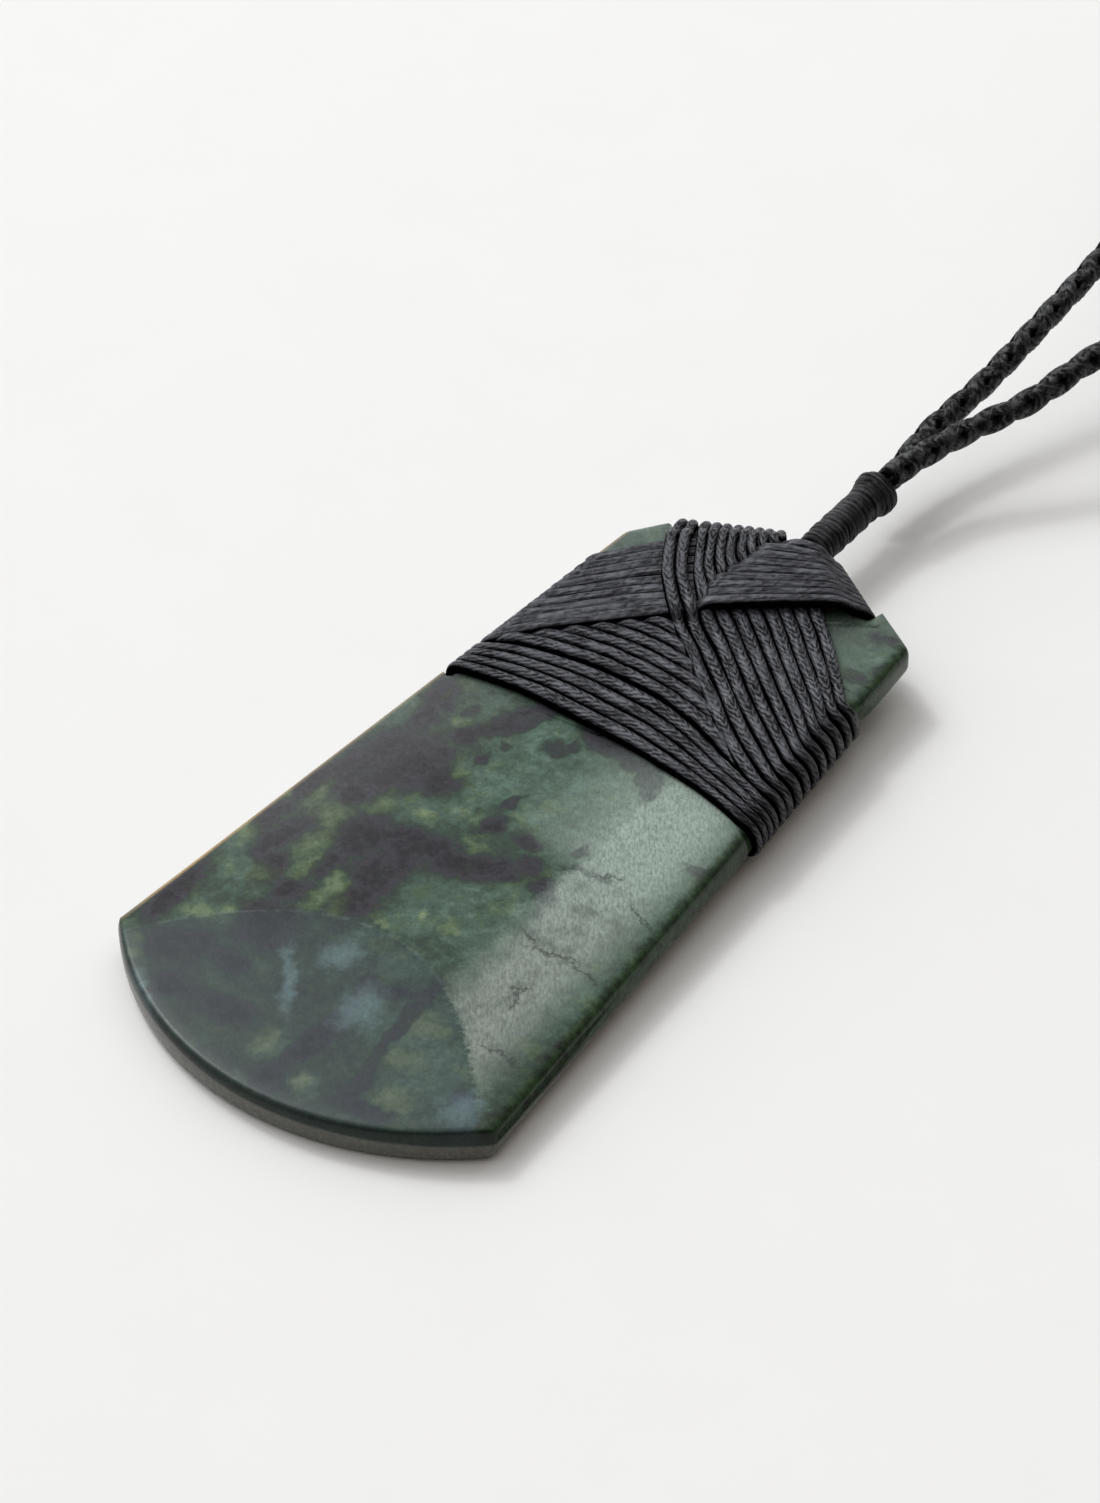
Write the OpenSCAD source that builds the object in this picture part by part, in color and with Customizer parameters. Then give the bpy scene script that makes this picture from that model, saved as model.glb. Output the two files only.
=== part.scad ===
/* [Stone] */
// Width across the two corners of the cutting edge
stone_w = 40; // [34:0.5:44]
// Width across the two shoulders
shoulder_w = 30.7; // [27:0.1:33]
// Thickness of the stone on its centre line
stone_t = 4; // [3.6:0.1:5]
// How far the curved cutting edge stands out past its corners
edge_sag = 8.3; // [6:0.1:10]
// Sideways shift of the curved edge's deepest point
edge_shift = 0.7; // [-1:0.1:1]
// Radius of the gentle crown across the front
crown_r = 280; // [200:10:400]
// Slope of the ground bevel behind the cutting edge, in degrees
bevel_deg = 2.9; // [1.5:0.1:3.5]
// Distance of the bevel's end from the corner line
bevel_y = 11; // [8:0.5:14]

/* [Lashing] */
// Thickness of one wound strand
strand_t = 1.05; // [0.8:0.05:1.1]
// Strands in the straight wraps that go all the way round
full_strands = 4; // [3:1:5]
// Strands above them that are tucked under the slanting wraps
tucked_strands = 6; // [4:1:7]
// Strands in the wraps that rise to the right shoulder
rising_strands = 9; // [6:1:10]
// Strands in the wraps that fall from the left shoulder
falling_strands = 8; // [6:1:9]

/* [Collar and neck cord] */
// Radius of the bound collar
collar_r = 1.75; // [1.5:0.05:2]
// Length of the bound collar
collar_len = 12.2; // [9:0.1:14]
// Number of thread turns on the collar
collar_turns = 22; // [14:1:28]
// Thickness of the plaited neck cord
cord_d = 2.3; // [1.8:0.1:2.3]

/* [Hidden] */

// the stone's corner line is y = 0, its back is z = 0, its front faces +Z
shoulder_y = 67.5;
arc_r = (stone_w * stone_w / 4 + edge_sag * edge_sag) / (2 * edge_sag);
function half_w(y) = (stone_w + (shoulder_w - stone_w) * y / shoulder_y) / 2;
function front_z(x) = stone_t - x * x / (2 * crown_r);

// the top end, from the right shoulder over the peak to the left shoulder
right_cut = [[16.6, 64], [15.5, 66.9]];
right_slope = [[15.5, 66.9], [2.6, 75]];
peak = [[6, 73.6], [-6, 73.6]];
left_slope = [[-1.5, 74.6], [-12.7, 69.8]];
left_cut = [[-12.7, 69.8], [-15.1, 66.8]];

// seats for the strands that go over the two slopes and the two long sides; the
// strands lean as they go down the right side, and so does their seat there
right_seat = [[11.5, 69.6], [10.7, 67.6], [2.4, 73.2], [1.8, 75.5]];
left_seat = [[-1, 75.5], [-1.9, 73.4], [-11.9, 69.3], [-12.5, 71.2]];
left_in = 1.1;
side_seat = [[-20, 39.9], [left_in - half_w(40.2), 40.2], [left_in - half_w(60.4), 60.4], [-20, 60.7]];
right_in = 0.7;
lean = 1.3;
lean_seat = [[37.95, 5], [56.65, 5], [58.6, -1], [39.9, -1]];

// the pendant lies on its cutting edge and on its lashing, a little tilted
lay_deg = 2;

// space between the pieces, and from one layer of strands to the next
gap = 0.05;
layer = strand_t + gap;

// middle of the whole object along its length
mid_y = 173.6;

// neck cord: the route of its middle, from the collar round and back
cord_r = cord_d / 2;
floor_z = cord_r * 0.965;
ROUTE = [
    [-0.95, 87.2, 4.5],
    [-0.9, 91, 4.7],
    [-1, 97, 5.9],
    [0, 105, 7.4],
    [1.2, 116.3, 10.8],
    [1.6, 124, 12.6],
    [0, 139, 13.4],
    [-6, 156, 10.5],
    [-15, 173, 5.6],
    [-26, 190, 2.2],
    [-38, 209, floor_z],
    [-51, 232, floor_z],
    [-62, 260, floor_z],
    [-65, 290, floor_z],
    [-57, 320, floor_z],
    [-34, 345, floor_z],
    [0, 355, floor_z],
    [34, 345, floor_z],
    [57, 320, floor_z],
    [65, 290, floor_z],
    [63, 260, floor_z],
    [55, 232, floor_z],
    [46, 209, floor_z],
    [37, 188, 2.6],
    [30, 170, 6.2],
    [23, 152, 10],
    [16.5, 133, 12.8],
    [12, 118, 13],
    [8.9, 108.8, 11.4],
    [6.3, 102.4, 9.1],
    [3.5, 97.6, 7.8],
    [1.4, 92.6, 6.9],
    [0.4, 87.2, 6.6]
];
cord_rings = 80;
cord_sides = 8;

// Helpers
function flat(lists) = [for (l = lists) each l];
function unit(v) = v / norm(v);

// point on a smooth curve through the points, u from 0 to 1
function smooth_at(pts, u) =
    let (
        n = len(pts) - 1,
        f = min(u * n, n - 0.0001),
        i = floor(f),
        t = f - i,
        p0 = pts[max(i - 1, 0)],
        p1 = pts[i],
        p2 = pts[i + 1],
        p3 = pts[min(i + 2, n)]
    )
    0.5 * (2 * p1 + (p2 - p0) * t + (2 * p0 - 5 * p1 + 4 * p2 - p3) * t * t
        + (3 * p1 - p0 - 3 * p2 + p3) * t * t * t);

// faces of a skin over rings of points, a ring running round the outline
function skin_faces(rings, n, closed) = [
    for (j = [0 : rings - (closed ? 1 : 2)])
        for (i = [0 : n - 1])
            let (
                a = j * n + i,
                b = j * n + (i + 1) % n,
                c = ((j + 1) % rings) * n + (i + 1) % n,
                d = ((j + 1) % rings) * n + i
            )
            each [[a, b, c], [a, c, d]]
];

module skin(rings, closed = false) {
    n = len(rings[0]);
    caps = closed ? [] : [
        [for (i = [0 : n - 1]) n - 1 - i],
        [for (i = [0 : n - 1]) (len(rings) - 1) * n + i]
    ];
    faces = concat(skin_faces(len(rings), n, closed), caps);
    polyhedron(points = flat(rings), faces = faces, convexity = 10);
}

// from the stone's own frame to how it lies on the surface
module laid() {
    translate([0, -mid_y - edge_sag, 0])
        rotate([lay_deg, 0, 0])
            translate([0, edge_sag, 0])
                children();
}

// Stone
// long block with one dressed edge from p to q, the stone on its left
edge_low = [0.7, 1.1];
edge_high = [0.4, 0.8];
module edge_block(p, q) {
    past = 160;
    turn = atan2(q[1] - p[1], q[0] - p[0]);
    translate([p[0], p[1], 0])
        rotate([0, 0, turn])
            translate([-past, 0, 0])
                rotate([90, 0, 90])
                    linear_extrude(height = 2 * past + norm(q - p))
                        polygon([
                            [edge_low[0] * 1.5, -edge_low[1] * 0.5],
                            [0, edge_low[1]],
                            [0, stone_t - edge_high[1]],
                            [edge_high[0] * 1.5, stone_t + edge_high[1] * 0.5],
                            [120, stone_t + edge_high[1] * 0.5],
                            [120, -edge_low[1] * 0.5]
                        ]);
}

// disc whose rim is the curved cutting edge: a small upper facet, undercut below
rim_high = 2.5;
rim_in = 0.35;
module edge_disc() {
    translate([edge_shift, arc_r - edge_sag, 0])
        rotate_extrude($fn = 360)
            polygon([
                [0, -0.5],
                [arc_r - rim_in * 1.2, -0.5],
                [arc_r, rim_high - 0.2],
                [arc_r, rim_high],
                [arc_r - rim_in, stone_t],
                [0, stone_t]
            ]);
}

module crown() {
    translate([0, 120, stone_t - crown_r])
        rotate([90, 0, 0])
            cylinder(r = crown_r, h = 240, $fn = 1440);
}

module bevel() {
    translate([0, bevel_y, stone_t])
        rotate([bevel_deg, 0, 0])
            translate([-60, -60, -20])
                cube([120, 200, 20]);
}

module stone_blade() {
    color([0.16, 0.25, 0.18])
        laid()
            difference() {
                intersection() {
                    translate([-60, -60, 0])
                        cube([120, 200, stone_t]);
                    edge_disc_or_body();
                    edge_block([half_w(0), 0], [half_w(shoulder_y), shoulder_y]);
                    edge_block(right_cut[0], right_cut[1]);
                    edge_block(right_slope[0], right_slope[1]);
                    edge_block(peak[0], peak[1]);
                    edge_block(left_slope[0], left_slope[1]);
                    edge_block(left_cut[0], left_cut[1]);
                    edge_block([-half_w(shoulder_y), shoulder_y], [-half_w(0), 0]);
                    crown();
                    bevel();
                }
                for (seat = [right_seat, left_seat, side_seat])
                    translate([0, 0, -1])
                        linear_extrude(height = stone_t + 2)
                            polygon(seat);
                lean_side();
            }
}

// what the leaning seat takes off the right side: all outside a moved-in edge
module lean_side() {
    difference() {
        translate([12, 0, 0])
            rotate([90, 0, 90])
                linear_extrude(height = 12)
                    polygon(lean_seat);
        edge_block([half_w(0) - right_in, 0], [half_w(shoulder_y) - right_in, shoulder_y]);
    }
}

// the curved edge bounds the stone only at its lower end
module edge_disc_or_body() {
    edge_disc();
    translate([-60, 12, -1])
        cube([120, 120, stone_t + 2]);
}

// Lashing
// A band is a row of strands side by side. Each station of it holds the place
// of its first strand, a place in the middle, the place of its last strand, the
// outward direction, and how many layers down it rests at the first and the last.
function station(first, mid, last, out, low_first = 0, low_last = 0) =
    [first, mid, last, out, low_first, low_last];

function mixed(a, b, t) = a + (b - a) * t;
function linear_at(list, u) =
    let (f = min(u * (len(list) - 1), len(list) - 1.0001), i = floor(f))
    mixed(list[i], list[i + 1], f - i);
function reversed(list) = [for (i = [len(list) - 1 : -1 : 0]) list[i]];
function middle(a, b) = [for (i = [0 : len(a) - 1]) (a[i] + b[i]) / 2];

// ring of points of a band at one station: n strands, k of them before its middle
rib_top = [[0, 0], [0.25, 1], [0.75, 1]];
function band_ring(s, n, k) =
    let (
        a = s[0],
        m = s[1],
        b = s[2],
        pitch_a = norm(m - a) / (k - 0.5),
        pitch_b = norm(b - m) / (n - k - 0.5),
        lo = a - unit(m - a) * pitch_a / 2,
        hi = b + unit(b - m) * pitch_b / 2,
        at = function (q) q < k ? mixed(lo, m, q / k) : mixed(m, hi, (q - k) / (n - k)),
        low = function (q) gap + layer * mixed(s[4], s[5], q / n),
        groove = function (q) min(0.45 * strand_t, 0.4 * (q < k ? pitch_a : pitch_b))
    )
    concat(
        [
            for (i = [0 : n - 1])
                for (o = rib_top)
                    let (q = i + o[0])
                    at(q) + s[3] * (low(q) + strand_t - (1 - o[1]) * groove(q))
        ],
        [hi + s[3] * (low(n) + strand_t - groove(n))],
        [for (i = [n : -1 : 0]) at(i) + s[3] * low(i)]
    );

module band(stations, n, k, closed = true) {
    skin([for (s = stations) band_ring(s, n, k)], closed);
}

// stations on the front, taken smoothly through lists of hand-chosen places,
// and the same on the back, taken the other way
function front_run(a, m, b, low, count) = [
    for (i = [0 : count])
        let (
            u = i / count,
            pa = smooth_at(a, u),
            pm = smooth_at(m, u),
            pb = smooth_at(b, u),
            w = linear_at(low, u)
        )
        station(
            [pa[0], pa[1], front_z(pa[0])],
            [pm[0], pm[1], front_z(pm[0])],
            [pb[0], pb[1], front_z(pb[0])],
            [0, 0, 1],
            w[0],
            w[1]
        )
];
function leaning(p) = [p[0], p[1] + lean * max(0, (p[0] - 4) / 11)];
function back_run(a, m, b, low, count) = [
    for (i = [count : -1 : 0])
        let (
            u = i / count,
            pa = leaning(smooth_at(a, u)),
            pm = leaning(smooth_at(m, u)),
            pb = leaning(smooth_at(b, u)),
            w = linear_at(low, u)
        )
        station([pa[0], pa[1], 0], [pm[0], pm[1], 0], [pb[0], pb[1], 0], [0, 0, -1], w[0], w[1])
];

// stations round a wall from front to back, for a band that crosses it between
// the plan points of e, with the wall's outward direction in the plan; a leaning
// wall is the right one, whose two edges are bevelled
function round_wall(e, out2, leans = false) =
    let (
        o = unit([out2[0], out2[1], 0]),
        up = [0, 0, 1],
        dy = leans ? lean : 0,
        at = function (p, side, z) [
            p[0] + o[0] * side,
            p[1] + o[1] * side + dy * (stone_t - z) / stone_t,
            min(z, front_z(p[0]))
        ],
        row = function (side, z, out)
            station(at(e[0], side, z), at(e[1], side, z), at(e[2], side, z), out),
        ins = leans ? [0.13, edge_low[0]] : [0, 0],
        turn = leans ? 0.35 : 0.25
    )
    [
        row(-ins[0], stone_t, unit(o * 0.6 + up)),
        row(0, stone_t - edge_high[1], unit(o + up * 0.3)),
        row(0, edge_low[1], unit(o - up * turn)),
        row(-ins[1], 0, unit(o * 0.5 - up))
    ];

wall_left = [-1, 0.07];
wall_right = [1, 0.07];
gable_left = [-0.38, 0.93];
gable_right = [0.56, 0.83];
flush = [[0, 0], [0, 0]];

// straight wraps: the first four go all the way round, the others fill the
// triangle up to the slanting wraps
LOWER_FIRST = [
    [-15.2, 41.4], [-12, 41.9], [-8, 42.1], [-4, 42], [-1, 41.8],
    [3, 41.5], [7, 41], [11.4, 40.2], [15.2, 39.3]
];
LOWER_MID = [
    [-15.1, 45.1], [-12.4, 46.3], [-8.8, 47], [-4.8, 47.4], [-1.4, 47.3],
    [2, 47], [6, 46], [11.2, 43.9], [15, 42.5]
];
LOWER_LAST = [
    [-15.1, 45.4], [-12.6, 47.4], [-9.2, 50.6], [-5.6, 54], [-3.3, 55.4],
    [-0.5, 53.3], [4.2, 49.5], [11, 44.2], [15, 42.7]
];
LOWER_LEFT = [[left_in - 17.14, 41.5], [left_in - 16.9, 44.9], [left_in - 16.89, 45.1]];
LOWER_RIGHT = [[17.35 - right_in, 38.9], [17.12 - right_in, 42], [17.1 - right_in, 42.2]];

module lower_wraps() {
    color([0.08, 0.08, 0.085])
        laid()
            band(
                concat(
                    front_run(LOWER_FIRST, LOWER_MID, LOWER_LAST, flush, 12),
                    round_wall(LOWER_RIGHT, wall_right, true),
                    back_run(LOWER_FIRST, LOWER_MID, LOWER_LAST, flush, 12),
                    reversed(round_wall(LOWER_LEFT, wall_left))
                ),
                full_strands + tucked_strands,
                full_strands
            );
}

// rising wraps, from the left wall to the right gable; half way they climb
// onto the falling wraps
RISING_FIRST = [
    [-15.2, 46.8], [-12.2, 49.7], [-8.4, 53.4], [-4.6, 57], [-1.8, 59.4],
    [-0.5, 60.4], [1.2, 61.7], [4.8, 64.4], [7.4, 66.2], [9.3, 67.5]
];
RISING_LAST = [
    [-14.5, 60], [-12.8, 62], [-9.6, 65.6], [-5.6, 68.3], [-2.3, 69.9],
    [-0.9, 70.6], [0.6, 71.2], [2.2, 71.5], [3.2, 71.6], [3.9, 71.6]
];
RISING_LOW = [
    [0, 0], [0, 0], [0, 0], [0, 0], [0, 0],
    [1.02, 1.02], [1.02, 1.02], [1.02, 1.02], [1.02, 1.02], [0.3, 0.3]
];
RISING_LEFT = [[left_in - 16.82, 46.2], [left_in - 16.36, 52.85], [left_in - 15.9, 59.5]];
RISING_RIGHT = [[9.9, 68.17], [7.05, 70.1], [4.2, 72.02]];

module rising_wraps() {
    mid = middle(RISING_FIRST, RISING_LAST);
    color([0.09, 0.09, 0.095])
        laid()
            band(
                concat(
                    front_run(RISING_FIRST, mid, RISING_LAST, RISING_LOW, 18),
                    round_wall(RISING_RIGHT, gable_right),
                    back_run(RISING_FIRST, mid, RISING_LAST, flush, 9),
                    reversed(round_wall(RISING_LEFT, wall_left))
                ),
                rising_strands,
                rising_strands / 2
            );
}

// falling wraps: from the left gable over the rising wraps, then under them
// to the right wall; the band has its two ends at the crossing on the front
FALL_TOP_FIRST = [[-8.8, 69.6], [-7.6, 67.8], [-4.9, 63.2], [-3.3, 61.3]];
FALL_TOP_LAST = [[-2, 72.3], [-2.2, 71.5], [-2.7, 70.4], [-3.1, 69.6]];
FALL_TOP_LOW = [[0, 0], [1.02, 0.9], [1.02, 1.02], [1.02, 1.02]];
FALL_SIDE_FIRST = [[-0.5, 58.7], [2.1, 56.6], [7, 52.6], [11.6, 48.9], [14.8, 46.5]];
FALL_SIDE_LAST = [[4, 67.4], [5.6, 66], [8.8, 62.8], [11.9, 59.6], [14.2, 57]];
FALL_BACK_FIRST = [
    [-8.8, 69.6], [-7.4, 67.4], [-4.9, 63.2], [-2.3, 60.3],
    [2.1, 56.6], [7, 52.6], [11.6, 48.9], [14.8, 46.5]
];
FALL_BACK_LAST = [
    [-2, 72.3], [-1.7, 71.5], [-0.8, 70.6], [0.8, 69.8],
    [3.8, 67.8], [8, 63.6], [11.7, 59.8], [14.2, 57]
];
FALL_BACK_LOW = [
    [0, 0], [1.02, 1.02], [1.02, 1.02], [1.02, 1.02],
    [1.02, 1.02], [0.3, 1.02], [0, 0], [0, 0]
];
FALL_GABLE = [[-9, 70.52], [-5.9, 71.8], [-2.5, 73.18]];
FALL_WALL = [[16.85 - right_in, 45.7], [16.5 - right_in, 50.85], [16.15 - right_in, 56]];

module falling_wraps() {
    top_mid = middle(FALL_TOP_FIRST, FALL_TOP_LAST);
    side_mid = middle(FALL_SIDE_FIRST, FALL_SIDE_LAST);
    back_mid = middle(FALL_BACK_FIRST, FALL_BACK_LAST);
    color([0.1, 0.1, 0.105])
        laid()
            band(
                concat(
                    front_run(FALL_SIDE_FIRST, side_mid, FALL_SIDE_LAST, flush, 6),
                    round_wall(FALL_WALL, wall_right, true),
                    back_run(FALL_BACK_FIRST, back_mid, FALL_BACK_LAST, FALL_BACK_LOW, 14),
                    reversed(round_wall(FALL_GABLE, gable_left)),
                    front_run(FALL_TOP_FIRST, top_mid, FALL_TOP_LAST, FALL_TOP_LOW, 6)
                ),
                falling_strands,
                falling_strands / 2,
                false
            );
}

// the two strands that stay on top all the way, beside the falling wraps
CROSS_FIRST = [
    [-10.8, 68.7], [-10.2, 67.1], [-9.2, 64.9], [-7.2, 61.6], [-5.3, 59.3],
    [-3.4, 57.4], [-2, 56.2], [0.3, 54.4], [5, 50.5], [10, 46.5], [14.8, 43.7]
];
CROSS_LAST = [
    [-9.9, 69.2], [-9.2, 67.6], [-8.1, 65.4], [-6.2, 62.3], [-4.4, 60.2],
    [-2.5, 58.4], [-1.1, 57.1], [1.2, 55.3], [5.9, 51.4], [10.6, 47.6], [14.7, 44.9]
];
CROSS_LOW = [
    [0, 0], [1.02, 1.02], [1.02, 1.02], [1.02, 1.02], [1.02, 1.02],
    [1.02, 1.02], [0.2, 0.2], [0, 0], [0, 0], [0, 0], [0, 0]
];
CROSS_GABLE = [[-11.05, 69.68], [-10.6, 69.87], [-10.15, 70.05]];
CROSS_WALL = [[17.03 - right_in, 43], [17 - right_in, 43.6], [16.95 - right_in, 44.2]];

module crossing_strands() {
    mid = middle(CROSS_FIRST, CROSS_LAST);
    color([0.12, 0.12, 0.125])
        laid()
            band(
                concat(
                    front_run(CROSS_FIRST, mid, CROSS_LAST, CROSS_LOW, 20),
                    round_wall(CROSS_WALL, wall_right, true),
                    back_run(CROSS_FIRST, mid, CROSS_LAST, CROSS_LOW, 20),
                    reversed(round_wall(CROSS_GABLE, gable_left))
                ),
                2,
                1
            );
}

// Collar
collar_x = -0.2;
collar_y = 74.85;
flange_len = 1.5;
flange = [[-0.75, -0.8, 1.35], [0.75, 0.9, 1.35], [-1.15, 0.3, 1.1], [1.15, -0.2, 1.1]];

// the bound length: a rod with a groove between each two turns of thread
module bound_rod() {
    pitch = (collar_len - flange_len) / collar_turns;
    rotate([-90, 0, 0])
        rotate_extrude($fn = 64)
            polygon(concat(
                [[0, 0]],
                flat([
                    for (i = [0 : collar_turns - 1])
                        [[collar_r - 0.12, i * pitch], [collar_r, (i + 0.5) * pitch]]
                ]),
                [[collar_r - 0.12, collar_len - flange_len], [0, collar_len - flange_len]]
            ));
}

module collar() {
    color([0.07, 0.07, 0.075])
        laid()
            translate([collar_x, collar_y, stone_t / 2]) {
                bound_rod();
                // the stem that meets the stone's peak
                translate([0, -1.2, 0])
                    rotate([-90, 0, 0])
                        cylinder(r = 0.8, h = 2, $fn = 32);
                // the bound end where the neck cords go in
                translate([0, collar_len - flange_len, 0])
                    for (c = flange)
                        translate([c[0], 0, c[1]])
                            rotate([-90, 0, 0])
                                cylinder(r = c[2], h = flange_len, $fn = 48);
            }
}

// Neck cord
function route_points() = [
    for (i = [0 : cord_rings - 1])
        let (p = smooth_at(ROUTE, i / (cord_rings - 1)))
        [p[0], p[1], max(p[2], floor_z)]
];

// side directions carried along the route, so that the tube doesn't twist
function carried(tangents, i, side) =
    let (s = unit(side - tangents[i] * (side * tangents[i])))
    i == len(tangents) - 1 ? [s] : concat([s], carried(tangents, i + 1, s));

module neck_cord() {
    pts = route_points();
    n = len(pts);
    ends = [unit([0, 1, 0]), unit([0, -1, 0])];
    tangents = [
        for (i = [0 : n - 1])
            i == 0 ? ends[0] : i == n - 1 ? ends[1] : unit(pts[i + 1] - pts[i - 1])
    ];
    sides = carried(tangents, 0, [1, 0, 0]);
    color([0.07, 0.07, 0.075])
        translate([0, -mid_y, 0])
            skin([
                for (i = [0 : n - 1])
                    let (u = sides[i], v = cross(tangents[i], u))
                    [
                        for (k = [0 : cord_sides - 1])
                            let (a = -360 * (k + 0.5) / cord_sides)
                            pts[i] + (u * cos(a) + v * sin(a)) * cord_r
                    ]
            ]);
}

stone_blade();
lower_wraps();
rising_wraps();
falling_wraps();
crossing_strands();
collar();
neck_cord();
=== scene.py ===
import math
import random

import bmesh
import bpy
import numpy as np
from mathutils import Matrix, Vector, noise


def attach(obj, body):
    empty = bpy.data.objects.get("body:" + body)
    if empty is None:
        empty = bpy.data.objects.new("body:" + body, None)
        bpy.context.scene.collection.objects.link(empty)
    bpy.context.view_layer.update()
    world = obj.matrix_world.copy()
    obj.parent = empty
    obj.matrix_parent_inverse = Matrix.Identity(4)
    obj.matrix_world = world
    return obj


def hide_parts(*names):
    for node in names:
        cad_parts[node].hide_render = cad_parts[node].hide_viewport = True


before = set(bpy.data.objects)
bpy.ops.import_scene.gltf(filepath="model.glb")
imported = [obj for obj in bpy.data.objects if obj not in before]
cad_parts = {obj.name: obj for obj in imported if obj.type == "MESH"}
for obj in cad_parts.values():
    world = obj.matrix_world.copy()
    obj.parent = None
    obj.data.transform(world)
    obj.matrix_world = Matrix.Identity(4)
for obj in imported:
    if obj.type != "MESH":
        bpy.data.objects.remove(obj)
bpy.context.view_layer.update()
random.seed(7)
noise.seed_set(7)

# All lengths below are in millimetres, in the part's own design frame: y = 0 is
# the line through the corners of the cutting edge, and z = 0 is the stone's back.
MM = 0.001
MID_Y = 173.6  # the origin of the row along the design frame's y
LAY_DEG = 2.0  # tilt of the stone, which lies on its cutting edge and its lashing
STONE_W = 40.0  # across the corners of the cutting edge
SHOULDER_W = 30.7
SHOULDER_Y = 67.5
STONE_T = 4.0
EDGE_SAG = 8.3  # how far the curved edge stands out past its corners
EDGE_SHIFT = 0.7  # sideways shift of its deepest point
EDGE_R = (STONE_W ** 2 / 4 + EDGE_SAG ** 2) / (2 * EDGE_SAG)
CROWN_R = 280.0  # of the gentle crown across the front
BEVEL_DEG = 2.9
BEVEL_SLOPE = math.tan(math.radians(BEVEL_DEG))
BEVEL_Y = 11.0  # where the ground bevel ends on the centre line
STRAND_T = 1.05
GAP = 0.05  # between a strand and what it lies on
LAYER = STRAND_T + GAP
LEFT_IN = 1.1  # depth of the lashing's seat in the left side
RIGHT_IN = 0.7  # the same in the right side
LEAN = 1.3  # how much higher the right seat is at the back than at the front


def laid(points):
    """Stone frame, in mm, to the row frame, in metres."""
    p = np.asarray(points, float)
    turn = math.radians(LAY_DEG)
    y = p[..., 1] + EDGE_SAG
    z = p[..., 2]
    return np.stack([
        p[..., 0],
        y * math.cos(turn) - z * math.sin(turn) - EDGE_SAG - MID_Y,
        y * math.sin(turn) + z * math.cos(turn),
    ], axis=-1) * MM


def on_floor(points):
    """Design frame, in mm, to the row frame, in metres, without the stone's tilt."""
    return (np.asarray(points, float) - [0, MID_Y, 0]) * MM


def smoothstep(low, high, value):
    t = np.clip((value - low) / (high - low), 0, 1)
    return t * t * (3 - 2 * t)


def new_object(name, data):
    obj = bpy.data.objects.new(name, data)
    bpy.context.scene.collection.objects.link(obj)
    return obj


# Camera
PHOTO_W = 1100
FOCAL_PX = 3600.0
SENSOR_MM = 36.0
CAMERA_AT = (138.494, -154.991, 203.317)
CAMERA_YAW = -0.63327
CAMERA_DOWN = 0.69373


def make_camera():
    data = bpy.data.cameras.new("photo_camera")
    data.sensor_fit = "HORIZONTAL"
    data.sensor_width = SENSOR_MM
    data.lens = FOCAL_PX / PHOTO_W * SENSOR_MM
    data.clip_start = 0.01
    data.clip_end = 20
    camera = new_object("photo_camera", data)
    forward = Vector((
        math.sin(CAMERA_YAW) * math.cos(CAMERA_DOWN),
        math.cos(CAMERA_YAW) * math.cos(CAMERA_DOWN),
        -math.sin(CAMERA_DOWN),
    ))
    right = Vector((math.cos(CAMERA_YAW), -math.sin(CAMERA_YAW), 0))
    up = right.cross(forward)
    place = Matrix((right, up, -forward)).transposed().to_4x4()
    place.translation = Vector(on_floor(CAMERA_AT))
    camera.matrix_world = place
    bpy.context.scene.camera = camera


make_camera()


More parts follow.
